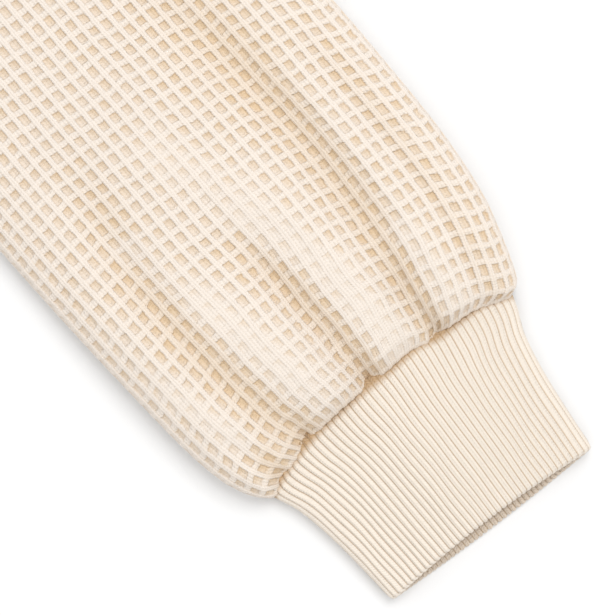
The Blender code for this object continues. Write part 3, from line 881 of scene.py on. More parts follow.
# ---------------------------------------------------------------- sleeves
@dataclass
class Sleeve(ClothPiece):
    """A full sleeve, lying flat, that swells towards the cuff and is gathered into it."""

    node: str
    side: int
    folds: tuple[Fold, ...]
    puffs: tuple[Puff, ...]
    notches: tuple[float, ...]
    seed: int
    columns: int = 32
    rows: int = 84
    under_stations: tuple[float, ...] = (0.97, 0.92, 0.84, 0.3, -0.3, -0.84, -0.92, -0.97)
    flat: tuple[float, float] = (0.31, 0.50)
    overhang: float = 0.0016
    row_lean: float = 0.087
    row_bend: float = -1.87
    row_reach: float = 0.12
    wobble: float = 0.05
    bar_jitter: float = 1.3
    side_relief: float = 0.45
    seam_press: float = 0.22
    under_cells: int = 32
    puff_flatness: float = 0.78
    tuck_pinch: float = 12.0
    seam_edge: float = 0.12
    edge_shade: float = 0.20
    shade_shift: float = 0.004
    least_overhang: float = 0.45
    fold_fade: float = 0.40
    crease_room: float = 0.85
    side_light: float = 0.95
    patchy: float = 0.06
    seam_dip: float = 0.0013
    seam_reach: float = 0.0040
    notch_width: float = 0.0036
    notch_pinch: float = 0.0020
    notch_shade: float = 0.45
    notch_start: float = 0.398
    notch_reach: float = 0.012
    lobe_start: float = 0.404
    lobe_reach: float = 0.010
    crease_end: float = 0.19
    crease_fade: float = 0.04
    fold_ends: float = 2.2
    beyond: float = 0.17
    fine_start: float = 0.39
    coarse_steps: int = 281
    fine_steps: int = 91
    station_steps: int = 361
    lean_row: int = 60
    press_cells: float = 3.0
    sway_across: float = 0.6
    sway_along: float = 0.010
    sway_size: float = 6.0
    sway_side: float = 1.5
    shake: float = 0.3
    shake_size: float = 16.0
    shake_start: float = 2.0
    fluff: float = 0.10
    fluff_across: float = 3.1
    fluff_along: float = 3.3
    fluff_size: float = 4.0
    patch_size: float = 16.0
    side_cells: float = 0.9
    side_light_cells: float = 0.8
    edge_cells: float = 0.3
    valley_depth: float = 0.0055
    tuck_shade: float = 0.3
    under_shade: float = 0.4
    side_station: float = 0.9
    seam_gap: float = 0.0002
    seam_tuck: tuple[tuple[float, float], ...] = ((-0.0002, -0.0012), (-0.0018, -0.0028), (-0.0045, -0.0034))

    def ring(self, name: str, along: Array) -> Array:
        """Read one column of the sleeve's sections at places along it."""
        places = [ring.along for ring in SLEEVE_RINGS]
        return smooth_curve(places, [getattr(ring, name) for ring in SLEEVE_RINGS], along)

    def fold_lift(self, along: Array, across: Array) -> Array:
        """Return the sum of the folds' heights at places on the upper layer."""
        lift = np.zeros(np.broadcast(along, across).shape)
        for fold in self.folds:
            share = (along - fold.start) / (fold.finish - fold.start)
            inside = np.clip(share, 0.0, 1.0)
            early = mix(fold.first, fold.middle, 2 * inside)
            late = mix(fold.middle, fold.last, 2 * inside - 1)
            middle = mix(early, late, inside)
            reach = ease(self.fold_ends * share) * np.exp(-((across - middle) / fold.spread) ** 2)
            if fold.finish < self.fold_fade:
                reach = reach * ease(self.fold_ends * (1 - share))
            lift += np.where(share <= 0.0, 0.0, fold.depth * reach)
        return lift

    def puffed(self, along: Array, across: Array) -> Array:
        """Return 1 where the sleeve is blown full, its pits nearly close and their colour fades as a painted
        highlight, 0 elsewhere.
        """
        full = np.zeros(np.broadcast(along, across).shape)
        for puff in self.puffs:
            away, _ = beside(along, across, (puff.start, puff.start_across),
                             (puff.finish, puff.finish_across))
            full = np.maximum(full, puff.strength * np.exp(-(away / puff.spread) ** 2))
        return full

    def lobe(self, across: Array) -> Array:
        """Return 1 on the gathered lobes at the cuff seam and 0 in the notches between them."""
        notch = sum(np.exp(-((across - place) / self.notch_width) ** 2) for place in self.notches)
        return np.clip(1.0 - notch, 0.0, 1.0)

    def form(self, station: Array, along: Array, upper: bool) -> Array:
        """Return points of the smooth sleeve: along, across and up in the sleeve's frame.

        Args:
            station: places across the layer, from -1 to 1.
            along: places along the sleeve.
            upper: the upper layer rather than the one that lies on the floor.
        """
        half = np.where(station > 0, self.ring("upper", along), self.ring("lower", along))
        edge, height = self.ring("edge", along), self.ring("height", along)
        face = height if upper else np.zeros_like(height)
        across, lift = layer_point(station, half, self.ring("rounding", along), edge, face)
        place = along - self.ring("skew", along) * across
        if upper:
            room = (lift - edge) / (face - edge)
            dipped = ease((along - SEAM_DIP_START) / (SLEEVE_LENGTH - SEAM_DIP_START))
            place = place - seam_line(across) * dipped
            fullness = np.clip((height - LAYER_TOP) / FOLD_HEIGHT, 0, 1)
            near_shoulder = 1 - ease((along - self.crease_end) / self.crease_fade)
            loose = np.maximum(fullness, self.crease_room * near_shoulder)
            fold = self.fold_lift(place, across)
            lift = lift + fold * room * np.where(fold > 0, loose, fullness)
            last = ease((along - self.lobe_start) / self.lobe_reach)
            lobe = self.lobe(across)
            lift = lift - self.notch_pinch * (1 - lobe) * last * room
            place = place + self.overhang * mix(self.least_overhang, 1.0, lobe) * last * room
        return np.stack(np.broadcast_arrays(place, across, lift), axis=-1)

    def to_world(self, points: Array) -> Array:
        """Turn points of the sleeve's frame into the garment's frame."""
        x, y = fallen(points[..., 0], points[..., 1], SLEEVE_FALL)
        return garment_plan(self.side * (ARMHOLE_MIDDLE[0] + x), ARMHOLE_MIDDLE[1] + y, points[..., 2])

    def ridge_lines(self, cells: Array) -> Array:
        """Lay the waffle's lines along the sleeve.

        Args:
            cells: places across in cells, one for each line.

        Returns:
            Points in the sleeve's frame, from the cuff seam to beyond the armhole, by lines.
        """
        places = np.concatenate((np.linspace(-self.beyond, self.fine_start, self.coarse_steps),
                                 np.linspace(self.fine_start, SLEEVE_LENGTH, self.fine_steps)[1:]))
        form = self.form(np.linspace(-1.0, 1.0, self.station_steps)[None, :], places[:, None], True)
        travel = travelled(form, 1)
        sway = wave_noise(self.seed, cells[None, :] * self.sway_across, places[:, None] / self.sway_along,
                          self.sway_size, 3)
        sway *= self.wobble * ease(np.minimum(cells, self.columns - cells) / self.sway_side)[None, :]
        return read_lines(travel, form, (cells + sway) / self.columns * travel[:, -1:])[::-1]

    def upper_layer(self) -> tuple[Array, Array, Array]:
        """Lay the waffle over the upper layer.

        Returns:
            The points in the sleeve's frame, the cloth's own places and the fullness,
            which carries the painted light and shade, as rows from the cuff seam to beyond
            the armhole.
        """
        cells = cell_places(self.columns, FINE_ACROSS)
        lines = self.ridge_lines(cells)
        travel = travelled(lines[..., :2], 0)
        bars = np.append(-self.seam_edge, cell_places(self.rows, FINE_ALONG))
        across = lines[self.lean_row, :, 1]
        lean = self.row_lean * across + self.row_bend * across**2
        pressed = 1 - self.seam_press * np.exp(-bars[:, None] / self.press_cells)
        distance = (bars[:, None] - bars[0]) * WAFFLE.along * pressed
        bars = np.maximum(bars, 0.0)
        distance = distance - ease(bars[:, None] * WAFFLE.along / self.row_reach) * lean
        shake = self.shake * wave_noise(self.seed + 1, cells[None, :], bars[:, None], self.shake_size, 2)
        shake += self.bar_jitter * cell_jitter(self.seed + 7, cells[None, :], bars[:, None])
        distance += self.wobble * WAFFLE.along * shake * ease(bars[:, None] / self.shake_start)
        wanted = np.clip(distance, 0, travel[-1])
        points = read_lines(travel.T, lines.transpose(1, 0, 2), wanted.T).transpose(1, 0, 2)
        a, b = np.broadcast_arrays(cells[None, :], bars[:, None])
        side = np.minimum(a, self.columns - a)
        puff = self.puffed(points[..., 0], points[..., 1])
        fluff = wave_noise(self.seed + 2, a * self.fluff_across, b * self.fluff_along, self.fluff_size)
        relief = WAFFLE.height(a, b) * (1 + self.fluff * fluff) - WAFFLE.sunk
        relief *= mix(self.side_relief, 1.0, ease(side / self.side_cells)) * (1 - self.puff_flatness * puff)
        # Painted shade: the valleys' darker tone is moved across towards their slope that is turned from the
        # light.
        lift = self.fold_lift(points[..., 0], points[..., 1] - self.shade_shift)
        points = points + surface_normals(points) * relief[..., None]
        cloth = np.stack((a * WAFFLE.across, b * WAFFLE.along), axis=-1)
        # Painted light and shade in the fullness: puffs lighter as a highlight, fold valleys darker as shade.
        fullness = 0.5 + 0.5 * puff - 0.5 * np.clip(-lift / self.valley_depth, 0, 1) * (1 - puff)
        fullness += self.patchy * wave_noise(self.seed + 4, a, b, self.patch_size, 2)
        # Painted shade in the notches between the gathered lobes at the seam.
        near_seam = ease((points[..., 0] - self.notch_start) / self.notch_reach)
        fullness -= self.notch_shade * (1 - self.lobe(points[..., 1])) * near_seam
        # Painted shade: the rows at the cuff seam, where the sleeve turns down, are darker.
        fullness = mix(self.edge_shade, fullness, ease(b / self.edge_cells))
        # Painted light: the pits fade towards the sleeve's rounded sides, as if lit there.
        return points, cloth, mix(self.side_light, fullness, ease(side / self.side_light_cells))

    def build(self) -> Thing:
        """Build the sleeve as one tube, cut off along the armhole.

        Returns:
            The sleeve's object.
        """
        points, cloth, relief = self.upper_layer()
        tucks = []
        on_top = np.clip((points[0, :, 2] - SEAM_EDGE) / (SEAM_HEIGHT - SEAM_EDGE), 0, 1)
        for step, drop in self.seam_tuck:
            tuck = points[0] * np.array((1.0, 1.0 + self.tuck_pinch * step, 1.0))
            tucks.insert(0, tuck + np.stack((np.full_like(on_top, step), 0 * on_top, drop * on_top), axis=-1))
        points = np.concatenate((np.stack(tucks), points))
        cloth = np.concatenate((np.repeat(cloth[:1], len(tucks), axis=0), cloth))
        # Painted shade: the tucked rows under the seam are darker still.
        relief = np.concatenate((np.repeat(relief[:1] * self.tuck_shade, len(tucks), axis=0), relief))
        under = []
        for station in self.under_stations:
            chord = mix(points[:, 0], points[:, -1], (station + 1) / 2)
            along = np.clip(chord[:, 0], -self.beyond, SLEEVE_LENGTH)
            layer = self.form(np.full(len(points), station), along, False)
            fit = (points[:, -1, 1] / self.ring("upper", along) if station > 0
                   else -points[:, 0, 1] / self.ring("lower", along))
            chord[:, 1], chord[:, 2] = layer[:, 1] * fit, layer[:, 2]
            under.append(chord)
        points = np.concatenate((points, np.stack(under, axis=1), points[:, :1]), axis=1)
        stations = np.append(self.under_stations, -1.0)
        beneath = np.repeat(cloth[:, -1:], len(stations), axis=1)
        beneath[..., 0] += (1 - stations) / 2 * self.under_cells * WAFFLE.across
        cloth = np.concatenate((cloth, beneath), axis=1)
        # Painted light and shade: the layer on the floor is darker, its side folds lighter.
        tone = np.where(np.abs(stations) > self.side_station, self.side_light, self.under_shade)
        relief = np.concatenate((relief, np.broadcast_to(tone, (len(relief), len(stations)))), axis=1)
        world = self.to_world(points)
        start, outwards = self.armhole()
        away = (world[..., 0] - start.x) * outwards.x + (world[..., 1] - start.y) * outwards.y
        upper = np.clip(world[..., 2] / EDGE_MIDDLE - 1, 0, 1)
        world[..., 2] -= self.seam_dip * (1 - ease(away / self.seam_reach)) * upper
        piece = self.grid(self.node + "_knit", world, cloth, relief, True)
        self.cut_armhole(piece)
        return piece

    def armhole(self) -> tuple[Vector, Vector]:
        """Return a point of the armhole's seam, and the way out of the body across it."""
        start = Vector((self.side * UNDERARM[0], UNDERARM[1] - GARMENT_LENGTH / 2, 0.0))
        outwards = Vector((self.side * (SHOULDER_TIP[1] - UNDERARM[1]), UNDERARM[0] - SHOULDER_TIP[0], 0.0))
        return start, outwards.normalized()

    def cut_armhole(self, piece: Thing) -> None:
        """Cut the tube off along the armhole's seam."""
        bm = bmesh.new()
        bm.from_mesh(piece.data)
        start, outwards = self.armhole()
        bmesh.ops.bisect_plane(bm, geom=bm.verts[:] + bm.edges[:] + bm.faces[:], dist=WELD,
                               plane_co=start + outwards * self.seam_gap, plane_no=outwards, clear_inner=True)
        bmesh.ops.triangulate(bm, faces=[face for face in bm.faces if len(face.verts) > 4])
        bmesh.ops.recalc_face_normals(bm, faces=bm.faces)
        bm.to_mesh(piece.data)
        bm.free()

    def make(self) -> Thing:
        piece = self.build()
        self.dress(piece, WAFFLE_FINISH, self.node)
        0.85 * self.flat[0] * self.flat[1]
        return piece


# ---------------------------------------------------------------- ribbed bands
class BandPoint(NamedTuple):
    """Where a band's wall is asked for."""

    station: Array
    upper: Array
    share: Array
    inset: Array
    reach: Array


@dataclass
class RibbedBand(ClothPiece):
    """A flattened tube of rib knit: outside, rounded free edge and inside."""

    node: str
    ribs: int
    under_ribs: int
    section: Callable[[BandPoint], Array]
    flat: tuple[float, float]
    depth: float
    held: str
    seed: int
    groove: float = 0.00075
    outer_rows: int = 24
    rim_rows: int = 6
    inner_rows: int = 10
    upper_steps: tuple[float, ...] = (0.0, 0.27, 0.42, 0.5, 0.58, 0.73)
    under_steps: tuple[float, ...] = (0.0, 0.3, 0.5, 0.7)
    sway: float = 0.16
    sway_ribs: float = 9.0
    sway_depth: float = 0.0042
    sway_side: float = 0.06
    sway_start: float = 0.2
    roundness: float = 0.6
    uneven: float = 0.18
    uneven_size: float = 6.0
    rim_cloth: float = 0.002
    inner_turn: float = 2.0
    proud: float = 0.0002
    inner_shade: float = 0.64
    seam_start: float = 0.041
    seam_line: float = 0.012

    def rows_of_wall(self) -> tuple[Array, Array, Array]:
        """Return shares, turns through the wall from 0 outside to pi inside, for each row."""
        outer = np.linspace(0.0, 1.0, self.outer_rows + 1)
        rim = np.linspace(0.0, math.pi, self.rim_rows + 1)[1:]
        inner = np.linspace(1.0, 0.0, self.inner_rows + 1)[1:]
        shares = np.concatenate((outer, np.ones(len(rim)), inner, (0.0,)))
        turns = np.concatenate((np.zeros(len(outer)), rim, np.full(len(inner), math.pi), (0.0,)))
        return shares, turns, np.where((shares == 1.0) & (turns > 0), np.sin(turns), 0.0)

    def make(self) -> Thing:
        up = cell_places(self.ribs, self.upper_steps)
        down = cell_places(self.under_ribs, self.under_steps)
        station = np.concatenate((2 * up / self.ribs - 1, 1 - 2 * down[1:] / self.under_ribs))
        upper = np.concatenate((np.ones(len(up), bool), np.zeros(len(down) - 1, bool)))
        phase = np.concatenate((up, down[1:]))
        shares, turns, reach = self.rows_of_wall()
        share, turn = shares[:, None], turns[:, None]
        crest = np.abs(np.cos(math.pi * phase)) ** self.roundness
        wave = wave_noise(self.seed, phase[None, :], share * self.depth / self.sway_depth, self.sway_ribs, 2)
        fade = np.clip((1 - np.abs(station)) / self.sway_side, 0, 1)[None, :]
        pitch = 2.0 / np.where(upper, self.ribs, self.under_ribs)[None, :]
        station = station[None, :] + self.sway * wave * pitch * fade * ease(share / self.sway_start)
        strength = 1 + self.uneven * wave_noise(self.seed + 3, phase[None, :] * 0.9, share * 4,
                                                self.uneven_size)
        wall = WALL / 2 - self.groove * (1 - crest)[None, :] * strength
        inset = WALL / 2 - wall * np.cos(turn) - self.proud
        stretch = wall * reach[:, None]
        shape = np.broadcast_shapes(station.shape, inset.shape)
        place = BandPoint(*(np.broadcast_to(value, shape)
                            for value in (station, upper[None, :], share, inset, stretch)))
        points = self.section(place)
        points[:, -1] = points[:, 0]
        along = np.broadcast_to(share * self.depth + reach[:, None] * self.rim_cloth, shape)
        cloth = np.stack((np.broadcast_to(phase[None, :], shape), along), axis=-1)
        # Painted shade: darker on the band's inside face, and darker at its seam, a painted shadow under the
        # sleeve's end at the cuffs and a seam line at the hem and neck.
        past_seam = ease((share - self.seam_start) / self.seam_line)
        relief = np.broadcast_to(np.where(turn > self.inner_turn, self.inner_shade, 1.0) * past_seam, shape)
        piece = self.grid(self.node + "_knit", points, cloth, relief, True)
        self.dress(piece, RIB_FINISH, self.node)
        return piece


@dataclass(frozen=True)
class CuffForm:
    """The form of a cuff, from the bowed sleeve seam to its mouth."""

    side: int
    flare: float = 0.0006
    fan: tuple[float, float] = (-0.22, 0.0606)
    mouth_lean: float = 0.0016
    corner: float = 0.0030
    corner_start: float = 0.93
    tuck: float = 0.0024
    tuck_reach: float = 0.09

    def section(self, place: BandPoint) -> Array:
        """Return points of the cuff's wall in the garment's frame."""
        arc = 1 - place.station**2
        start = np.where(place.upper, -seam_line(place.station * CUFF_OUTLINE[0][1] + SEAM_SHIFT), 0.0)
        end = CUFF_LENGTH + np.where(place.upper, -CUFF_RECESS * arc, CUFF_BULGE * arc)
        end = end + self.mouth_lean * (1 + place.station) / 2
        turned = np.clip((np.abs(place.station) - self.corner_start) / (1 - self.corner_start), 0, 1)
        end = end - self.corner * (1 - np.sqrt(1 - turned**2))
        along = mix(start, end, place.share) + place.reach - WALL / 2
        half = table_curve((self.fan, *CUFF_OUTLINE), along / CUFF_LENGTH)
        half = half - place.inset + self.flare * np.clip(along / CUFF_LENGTH, 0, 1)
        height = mix(SEAM_HEIGHT, CUFF_HEIGHT, place.share)
        height = height - self.tuck * (1 - ease(place.share / self.tuck_reach))
        face = np.where(place.upper, height - place.inset, place.inset)
        across, lift = layer_point(place.station, half, CUFF_ROUNDING - place.inset, SEAM_EDGE, face)
        seam_x, seam_y = fallen(SLEEVE_LENGTH - SEAM_SKEW * SEAM_SHIFT, SEAM_SHIFT, SLEEVE_FALL)
        x, y = fallen(along, across, CUFF_FALL)
        return garment_plan(self.side * (ARMHOLE_MIDDLE[0] + seam_x + x),
                            ARMHOLE_MIDDLE[1] + seam_y + y, lift)


def hem_section(place: BandPoint) -> Array:
    """Return points of the hem band's wall, from the body's seam to the free edge."""
    half = mix(HEM_SEAM_HALF_WIDTH, HEM_HALF_WIDTH, place.share) - place.inset
    face = np.where(place.upper, LAYER_TOP - place.inset, place.inset)
    across, lift = layer_point(place.station, half, HEM_ROUNDING - place.inset, EDGE_MIDDLE, face)
    height = mix(HEM_DEPTH, WALL / 2, place.share) - place.reach
    return garment_plan(across, height, lift)


def neck_section(place: BandPoint) -> Array:
    """Return points of the neckband's wall, from the body's neckline to the free edge."""
    half = mix(NECK_HALF_WIDTH, BAND_HALF_WIDTH, place.share) - place.reach
    base = NECK_POINT_HEIGHT + (BAND_RISE - WALL / 2) * place.share
    seam_drop = np.where(place.upper, FRONT_NECK_DROP, BACK_NECK_DROP)
    drop = mix(seam_drop, seam_drop + BAND_RISE - BAND_DEPTH, place.share) - place.reach
    angle, from_side = np.abs(place.station) * math.pi / 2, 1 - np.abs(place.station)
    wall = place.inset * (1 - ease(from_side / BAND_SIDE_WALL))
    across = np.copysign((half - wall) * np.sin(angle), place.station)
    face = np.where(place.upper, LAYER_TOP - place.inset, place.inset)
    lift = mix(EDGE_MIDDLE, face, ease(from_side / BAND_SIDE_TURN))
    return garment_plan(across, base - drop * np.cos(angle), lift)


def neck_arc(drop: float) -> float:
    """Return the length of the neckline's curve that drops so far below the neck points."""
    return math.pi / 2 * math.hypot(NECK_HALF_WIDTH, drop) * math.sqrt(2)


# ---------------------------------------------------------------- front and back
@dataclass(frozen=True)
class Outline:
    """The outline of a body panel, from the hem seam to the shoulders."""

    neck_drop: float
    tiny: float = 1e-5
    moves: int = 4
    least_slope: float = 0.25

    def distances(self, x: Array, y: Array) -> tuple[Array, Array]:
        """Return how far inside the outline places are.

        Args:
            x: places across the body.
            y: heights above the hem's edge.

        Returns:
            The distance to the side edge, and the distance to the nearest sewn seam.
        """
        away = np.abs(x)

        def inside_of(start: tuple[float, float], end: tuple[float, float]) -> Array:
            """Return the distance to the left of a straight line."""
            run = np.subtract(end, start)
            return ((y - start[1]) * run[0] - (away - start[0]) * run[1]) / math.hypot(*run)

        side = np.where(y > UNDERARM[1], FAR, table_curve(SIDE_EDGE, y) - away)
        armhole = np.where(y > UNDERARM[1], inside_of(UNDERARM, SHOULDER_TIP), FAR)
        shoulder = inside_of(SHOULDER_TIP, (NECK_HALF_WIDTH, NECK_POINT_HEIGHT))
        across, up = away / NECK_HALF_WIDTH, (NECK_POINT_HEIGHT - y) / self.neck_drop
        ratio = np.hypot(across, up)
        steep = np.hypot(across / NECK_HALF_WIDTH, up / self.neck_drop) / np.maximum(ratio, SHORTEST)
        neck = (ratio - 1) / np.maximum(steep, SHORTEST)
        return side, np.minimum.reduce((armhole, shoulder, neck, y - HEM_DEPTH))

    def inside(self, x: Array, y: Array) -> Array:
        """Return the distance inside the outline, negative outside."""
        return np.minimum(*self.distances(x, y))

    def snap(self, x: Array, y: Array) -> tuple[Array, Array]:
        """Move places onto the outline."""
        tiny = self.tiny
        for _ in range(self.moves):
            depth = self.inside(x, y)
            slope_x = (self.inside(x + tiny, y) - self.inside(x - tiny, y)) / (2 * tiny)
            slope_y = (self.inside(x, y + tiny) - self.inside(x, y - tiny)) / (2 * tiny)
            steep = np.maximum(slope_x**2 + slope_y**2, self.least_slope)
            x, y = x - depth * slope_x / steep, y - depth * slope_y / steep
        return x, y


@dataclass
class BodyPanel(ClothPiece):
    """The front or the back of the body."""

    node: str
    outline: Outline
    top: float
    edge: float
    steps_across: tuple[float, ...]
    steps_along: tuple[float, ...]
    relief: float
    creases: tuple[Crease, ...]
    rises: tuple[Rise, ...]
    seed: int
    finish: KnitFinish
    patchy: float = 0.05
    patch_size: float = 18.0
    wobble: float = 0.04
    wobble_size: float = 14.0
    unevenness: float = 0.0003
    uneven_size: float = 0.14
    rise_reach: float = 1.6
    rise_margin: float = 0.02
    relief_margin: float = 0.003
    under_hem: float = 0.0005
    crease_light_and_shade: float = 45.0
    taper: float = 2.4
    shade_reach: float = 0.004
    shade_tone: float = 90.0
    seam_tone: float = 0.40
    seam_shade: float = 0.0035
    seam_dip: float = 0.0011
    seam_reach: float = 0.0040
    flat: tuple[float, float] = (0.55, 0.58)
    thickness: float = 0.0

    def creased(self, x: Array, y: Array) -> Array:
        """Return the sum of the creases' heights at places on the panel."""
        total = np.zeros(np.broadcast(x, y).shape)
        for crease in self.creases:
            away, share = beside(x, y, (crease.start_x, crease.start_y), (crease.end_x, crease.end_y))
            taper = ease(self.taper * share) * ease(self.taper * (1 - share))
            total += crease.depth * taper * np.exp(-(away / crease.spread) ** 2)
        return total

    def shaded(self, x: Array, y: Array) -> Array:
        """Return how much the creases rise towards the light, 0 where they face it."""
        reach = self.shade_reach
        return np.maximum(self.creased(x + reach, y + reach) - self.creased(x - reach, y - reach), 0.0)

    def lift(self, x: Array, y: Array) -> Array:
        """Return the height of the smooth panel at places on it."""
        height = np.full(np.broadcast(x, y).shape, self.top)
        rise = np.zeros_like(height)
        for row in self.rises:
            distance = np.hypot((np.abs(x) - row.across) / row.half_across,
                                (y - row.height) / row.half_height)
            rise = np.maximum(rise, row.rise * ease(1 - distance / self.rise_reach))
        side, seams = self.outline.distances(x, y)
        rise = rise + self.creased(x, y) + self.unevenness * wave_noise(self.seed, x, y, self.uneven_size)
        height = height + rise * ease(np.minimum(side, seams) / self.rise_margin)
        height -= self.seam_dip * (1 - ease(seams / self.seam_reach))
        round_share = np.clip(side / self.seam_reach, 0, 1)
        return self.edge + (height - self.edge) * np.sqrt(1 - (1 - round_share) ** 2)

    def make(self) -> Thing:
        half_cells = int(math.ceil(SHOULDER_TIP[0] / WAFFLE.across)) + 1
        across = cell_places(half_cells, self.steps_across)
        across = np.concatenate((-across[:0:-1], across))
        rows = int(math.ceil((NECK_POINT_HEIGHT - HEM_DEPTH) / WAFFLE.along)) + 1
        a, b = np.meshgrid(across, cell_places(rows, self.steps_along))
        x, y = a * WAFFLE.across, HEM_DEPTH - self.under_hem + b * WAFFLE.along
        x = x + self.wobble * WAFFLE.across * wave_noise(self.seed + 5, a, b * 0.5, self.wobble_size)
        y = y + self.wobble * WAFFLE.along * wave_noise(self.seed + 6, a * 0.5, b, self.wobble_size)
        kept = self.outline.inside(corner_mean(x), corner_mean(y)) > 0
        share_kept = corner_mean(np.pad(kept, 1).astype(float))
        border = (share_kept > 0) & (share_kept < 1)
        x[border], y[border] = self.outline.snap(x[border], y[border])
        smooth = np.stack((x, y, self.lift(x, y)), axis=-1)
        relief = (WAFFLE.height(a, b) - WAFFLE.sunk) * self.relief
        relief = relief * ease(self.outline.inside(x, y) / self.relief_margin)
        normals = surface_normals(smooth)
        smooth += normals * relief[..., None] * np.sign(normals[..., 2:])
        points = garment_plan(smooth[..., 0], smooth[..., 1], smooth[..., 2])
        cloth = np.stack((a * WAFFLE.across, b * WAFFLE.along), axis=-1)
        fullness = 0.5 + self.patchy * wave_noise(self.seed + 4, a, b, self.patch_size, 2)
        # Painted light and shade: crease ridges lighter, troughs and the flanks turned from the light darker.
        fullness += self.crease_light_and_shade * self.creased(x, y) - self.shade_tone * self.shaded(x, y)
        fullness -= self.seam_tone * (1 - ease(self.outline.distances(x, y)[1] / self.seam_shade))
        piece = self.grid(self.node + "_knit", points, cloth, fullness, False)
        bm = bmesh.new()
        bm.from_mesh(piece.data)
        bm.faces.ensure_lookup_table()
        outside = [bm.faces[index] for index in np.flatnonzero(~kept.ravel())]
        bmesh.ops.delete(bm, geom=outside, context="FACES")
        bmesh.ops.recalc_face_normals(bm, faces=bm.faces)
        if sum(face.normal.z for face in bm.faces) < 0:
            bmesh.ops.reverse_faces(bm, faces=bm.faces)
        bm.to_mesh(piece.data)
        bm.free()
        if self.thickness:
            wall = piece.modifiers.new("Wall", "SOLIDIFY")
            wall.thickness = self.thickness
            wall.offset = -1
        self.dress(piece, self.finish, self.node)
        0.88 * self.flat[0] * self.flat[1]
        return piece


# ---------------------------------------------------------------- studio
@dataclass
class Studio:
    """A plain pale floor, soft light from the upper right and the camera above."""

    aim: tuple[float, float] = (0.51208, -0.14940)
    frame_height: float = 615 * 0.00037
    camera_height: float = 1.0
    cloth_height: float = 0.008
    sensor: float = 36.0
    sight: float = 60.0
    key_power: float = 8.5
    key_size: float = 0.8
    key_place: tuple[float, float, float] = (0.84, 0.44, 1.35)
    world_strength: float = 1.0
    floor_half: float = 15.0
    floor_drop: float = 0.0003
    floor_tone: float = 0.83

    def make(self) -> None:
        """Set up the floor, the light, the world and the camera."""
        scene = bpy.context.scene
        scene.view_settings.view_transform = "Standard"
        bm = bmesh.new()
        bmesh.ops.create_grid(bm, x_segments=2, y_segments=2, size=self.floor_half)
        bmesh.ops.translate(bm, verts=bm.verts, vec=(0.0, 0.0, -self.floor_drop))
        floor = ClothPiece.link("Floor", bm)
        floor.data.materials.append(self.floor_finish())
        world = bpy.data.worlds.new("Soft studio")
        world.use_nodes = True
        sky = world.node_tree.nodes["Background"]
        sky.inputs["Color"].default_value = (1.0, 1.0, 1.0, 1.0)
        sky.inputs["Strength"].default_value = self.world_strength
        scene.world = world
        self.key_lamp()
        data = bpy.data.cameras.new("Camera")
        data.sensor_width = self.sensor
        data.lens = self.sensor * self.camera_height / self.frame_height
        data.clip_end = self.sight
        camera = bpy.data.objects.new("Camera", data)
        camera.location = (*self.aim, self.cloth_height + self.camera_height)
        scene.collection.objects.link(camera)
        scene.camera = camera

    def key_lamp(self) -> None:
        """Add a square soft lamp that faces the sleeve."""
        data = bpy.data.lights.new("Key", "AREA")
        data.energy, data.size = self.key_power, self.key_size
        lamp = bpy.data.objects.new("Key", data)
        lamp.location = self.key_place
        sight = Vector((*self.aim, 0.0)) - Vector(self.key_place)
        lamp.rotation_euler = sight.to_track_quat("-Z", "Y").to_euler()
        bpy.context.scene.collection.objects.link(lamp)

    def floor_finish(self) -> Material:
        """Return a matte, almost white floor finish."""
        material = bpy.data.materials.new("Studio floor")
        material.use_nodes = True
        shader = material.node_tree.nodes["Principled BSDF"]
        shader.inputs["Base Color"].default_value = (self.floor_tone,) * 3 + (1.0,)
        shader.inputs["Roughness"].default_value = 0.9
        shader.inputs["Specular IOR Level"].default_value = 0.1
        return material


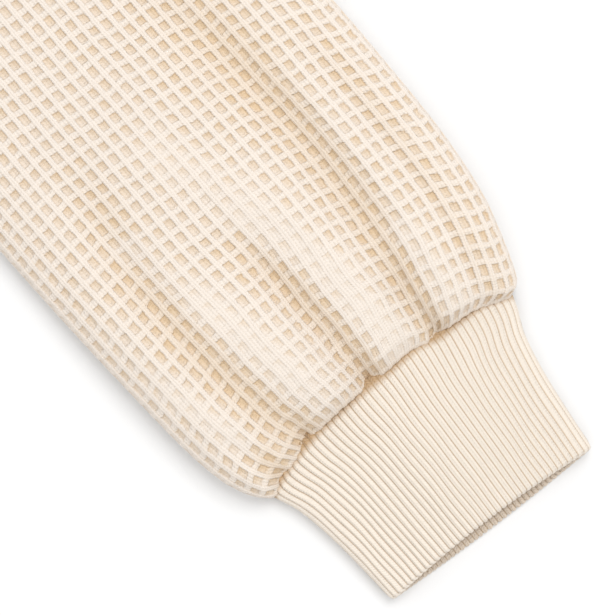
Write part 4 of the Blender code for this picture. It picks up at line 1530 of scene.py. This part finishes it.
# ---------------------------------------------------------------- the sweater
FRONT_CREASES = tuple(Crease(*row) for row in (
    (0.262, 0.384, 0.100, 0.286, 0.0062, 0.0115),
    (0.262, 0.352, 0.158, 0.184, 0.0056, 0.0125),
    (0.240, 0.398, 0.122, 0.380, 0.0038, 0.0100),
    (-0.262, 0.388, -0.116, 0.312, 0.0060, 0.0110),
    (-0.262, 0.360, -0.182, 0.168, 0.0056, 0.0128),
    (-0.252, 0.396, -0.104, 0.434, 0.0042, 0.0110),
    (-0.072, 0.068, -0.118, 0.252, 0.0050, 0.0128),
    (0.012, 0.066, 0.052, 0.286, 0.0056, 0.0138),
    (0.130, 0.066, 0.092, 0.206, 0.0047, 0.0118),
    (-0.184, 0.062, -0.144, 0.176, 0.0044, 0.0102),
    (0.210, 0.062, 0.190, 0.156, 0.0042, 0.0100),
    (-0.104, 0.492, -0.226, 0.432, 0.0046, 0.0120),
    (0.076, 0.506, 0.222, 0.420, 0.0052, 0.0115),
    (0.236, 0.324, 0.132, 0.240, -0.0016, 0.0100),
    (-0.234, 0.346, -0.150, 0.252, -0.0016, 0.0100),
    (-0.022, 0.084, -0.038, 0.320, -0.0014, 0.0140),
    (0.074, 0.080, 0.082, 0.256, -0.0014, 0.0120),
    (-0.056, 0.434, 0.076, 0.402, -0.0013, 0.0130),
))
BACK_CREASES = (Crease(-0.050, 0.150, 0.030, 0.400, 0.0003, 0.030),)


def main() -> None:
    """Load the frame, build the sweater's pieces in order, and set up the studio."""
    logging.basicConfig(level=logging.INFO, format="%(message)s")
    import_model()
    back = BodyPanel("back_panel", Outline(BACK_NECK_DROP), WALL, EDGE_MIDDLE, (0.0,), (0.0,), 0.0,
                     BACK_CREASES, (), 31, PLAIN_FINISH, seam_dip=0.0, thickness=0.0022)
    front = BodyPanel("front_panel", Outline(FRONT_NECK_DROP), LAYER_TOP, EDGE_MIDDLE, (0.0, 0.30, 0.70),
                      (0.0, 0.28, 0.72), 1.0, FRONT_CREASES, FRONT_RISES, 32, WAFFLE_FINISH)
    neck_ribs = (round(neck_arc(drop) / RIB_PITCH) for drop in (FRONT_NECK_DROP, BACK_NECK_DROP))
    pieces = (
        back,
        front,
        Sleeve("sleeve_left", 1, LEFT_FOLDS, LEFT_PUFFS, (-0.0516, -0.035, -0.003, 0.027), 11),
        Sleeve("sleeve_right", -1, RIGHT_FOLDS, RIGHT_PUFFS, (-0.047, -0.023, 0.004, 0.033, 0.051), 12),
        RibbedBand("cuff_left", 43, 43, CuffForm(1).section, (0.229, 0.060), CUFF_LENGTH, "laid", 21),
        RibbedBand("cuff_right", 43, 43, CuffForm(-1).section, (0.229, 0.060), CUFF_LENGTH, "laid", 22),
        RibbedBand("hem_band", round(2 * HEM_SEAM_HALF_WIDTH / RIB_PITCH), 60, hem_section, (0.996, 0.060),
                   HEM_DEPTH, "laid", 23, outer_rows=10, inner_rows=3, rim_rows=4,
                   seam_start=-0.010, seam_line=0.026),
        RibbedBand("neckband", *neck_ribs, neck_section, (0.48, 0.022), BAND_DEPTH, "laid", 24,
                   outer_rows=6, inner_rows=4, rim_rows=4, seam_start=-0.030, seam_line=0.070),
    )
    for piece in pieces:
        piece.make()
    Studio().make()


if __name__ == "__main__":
    main()
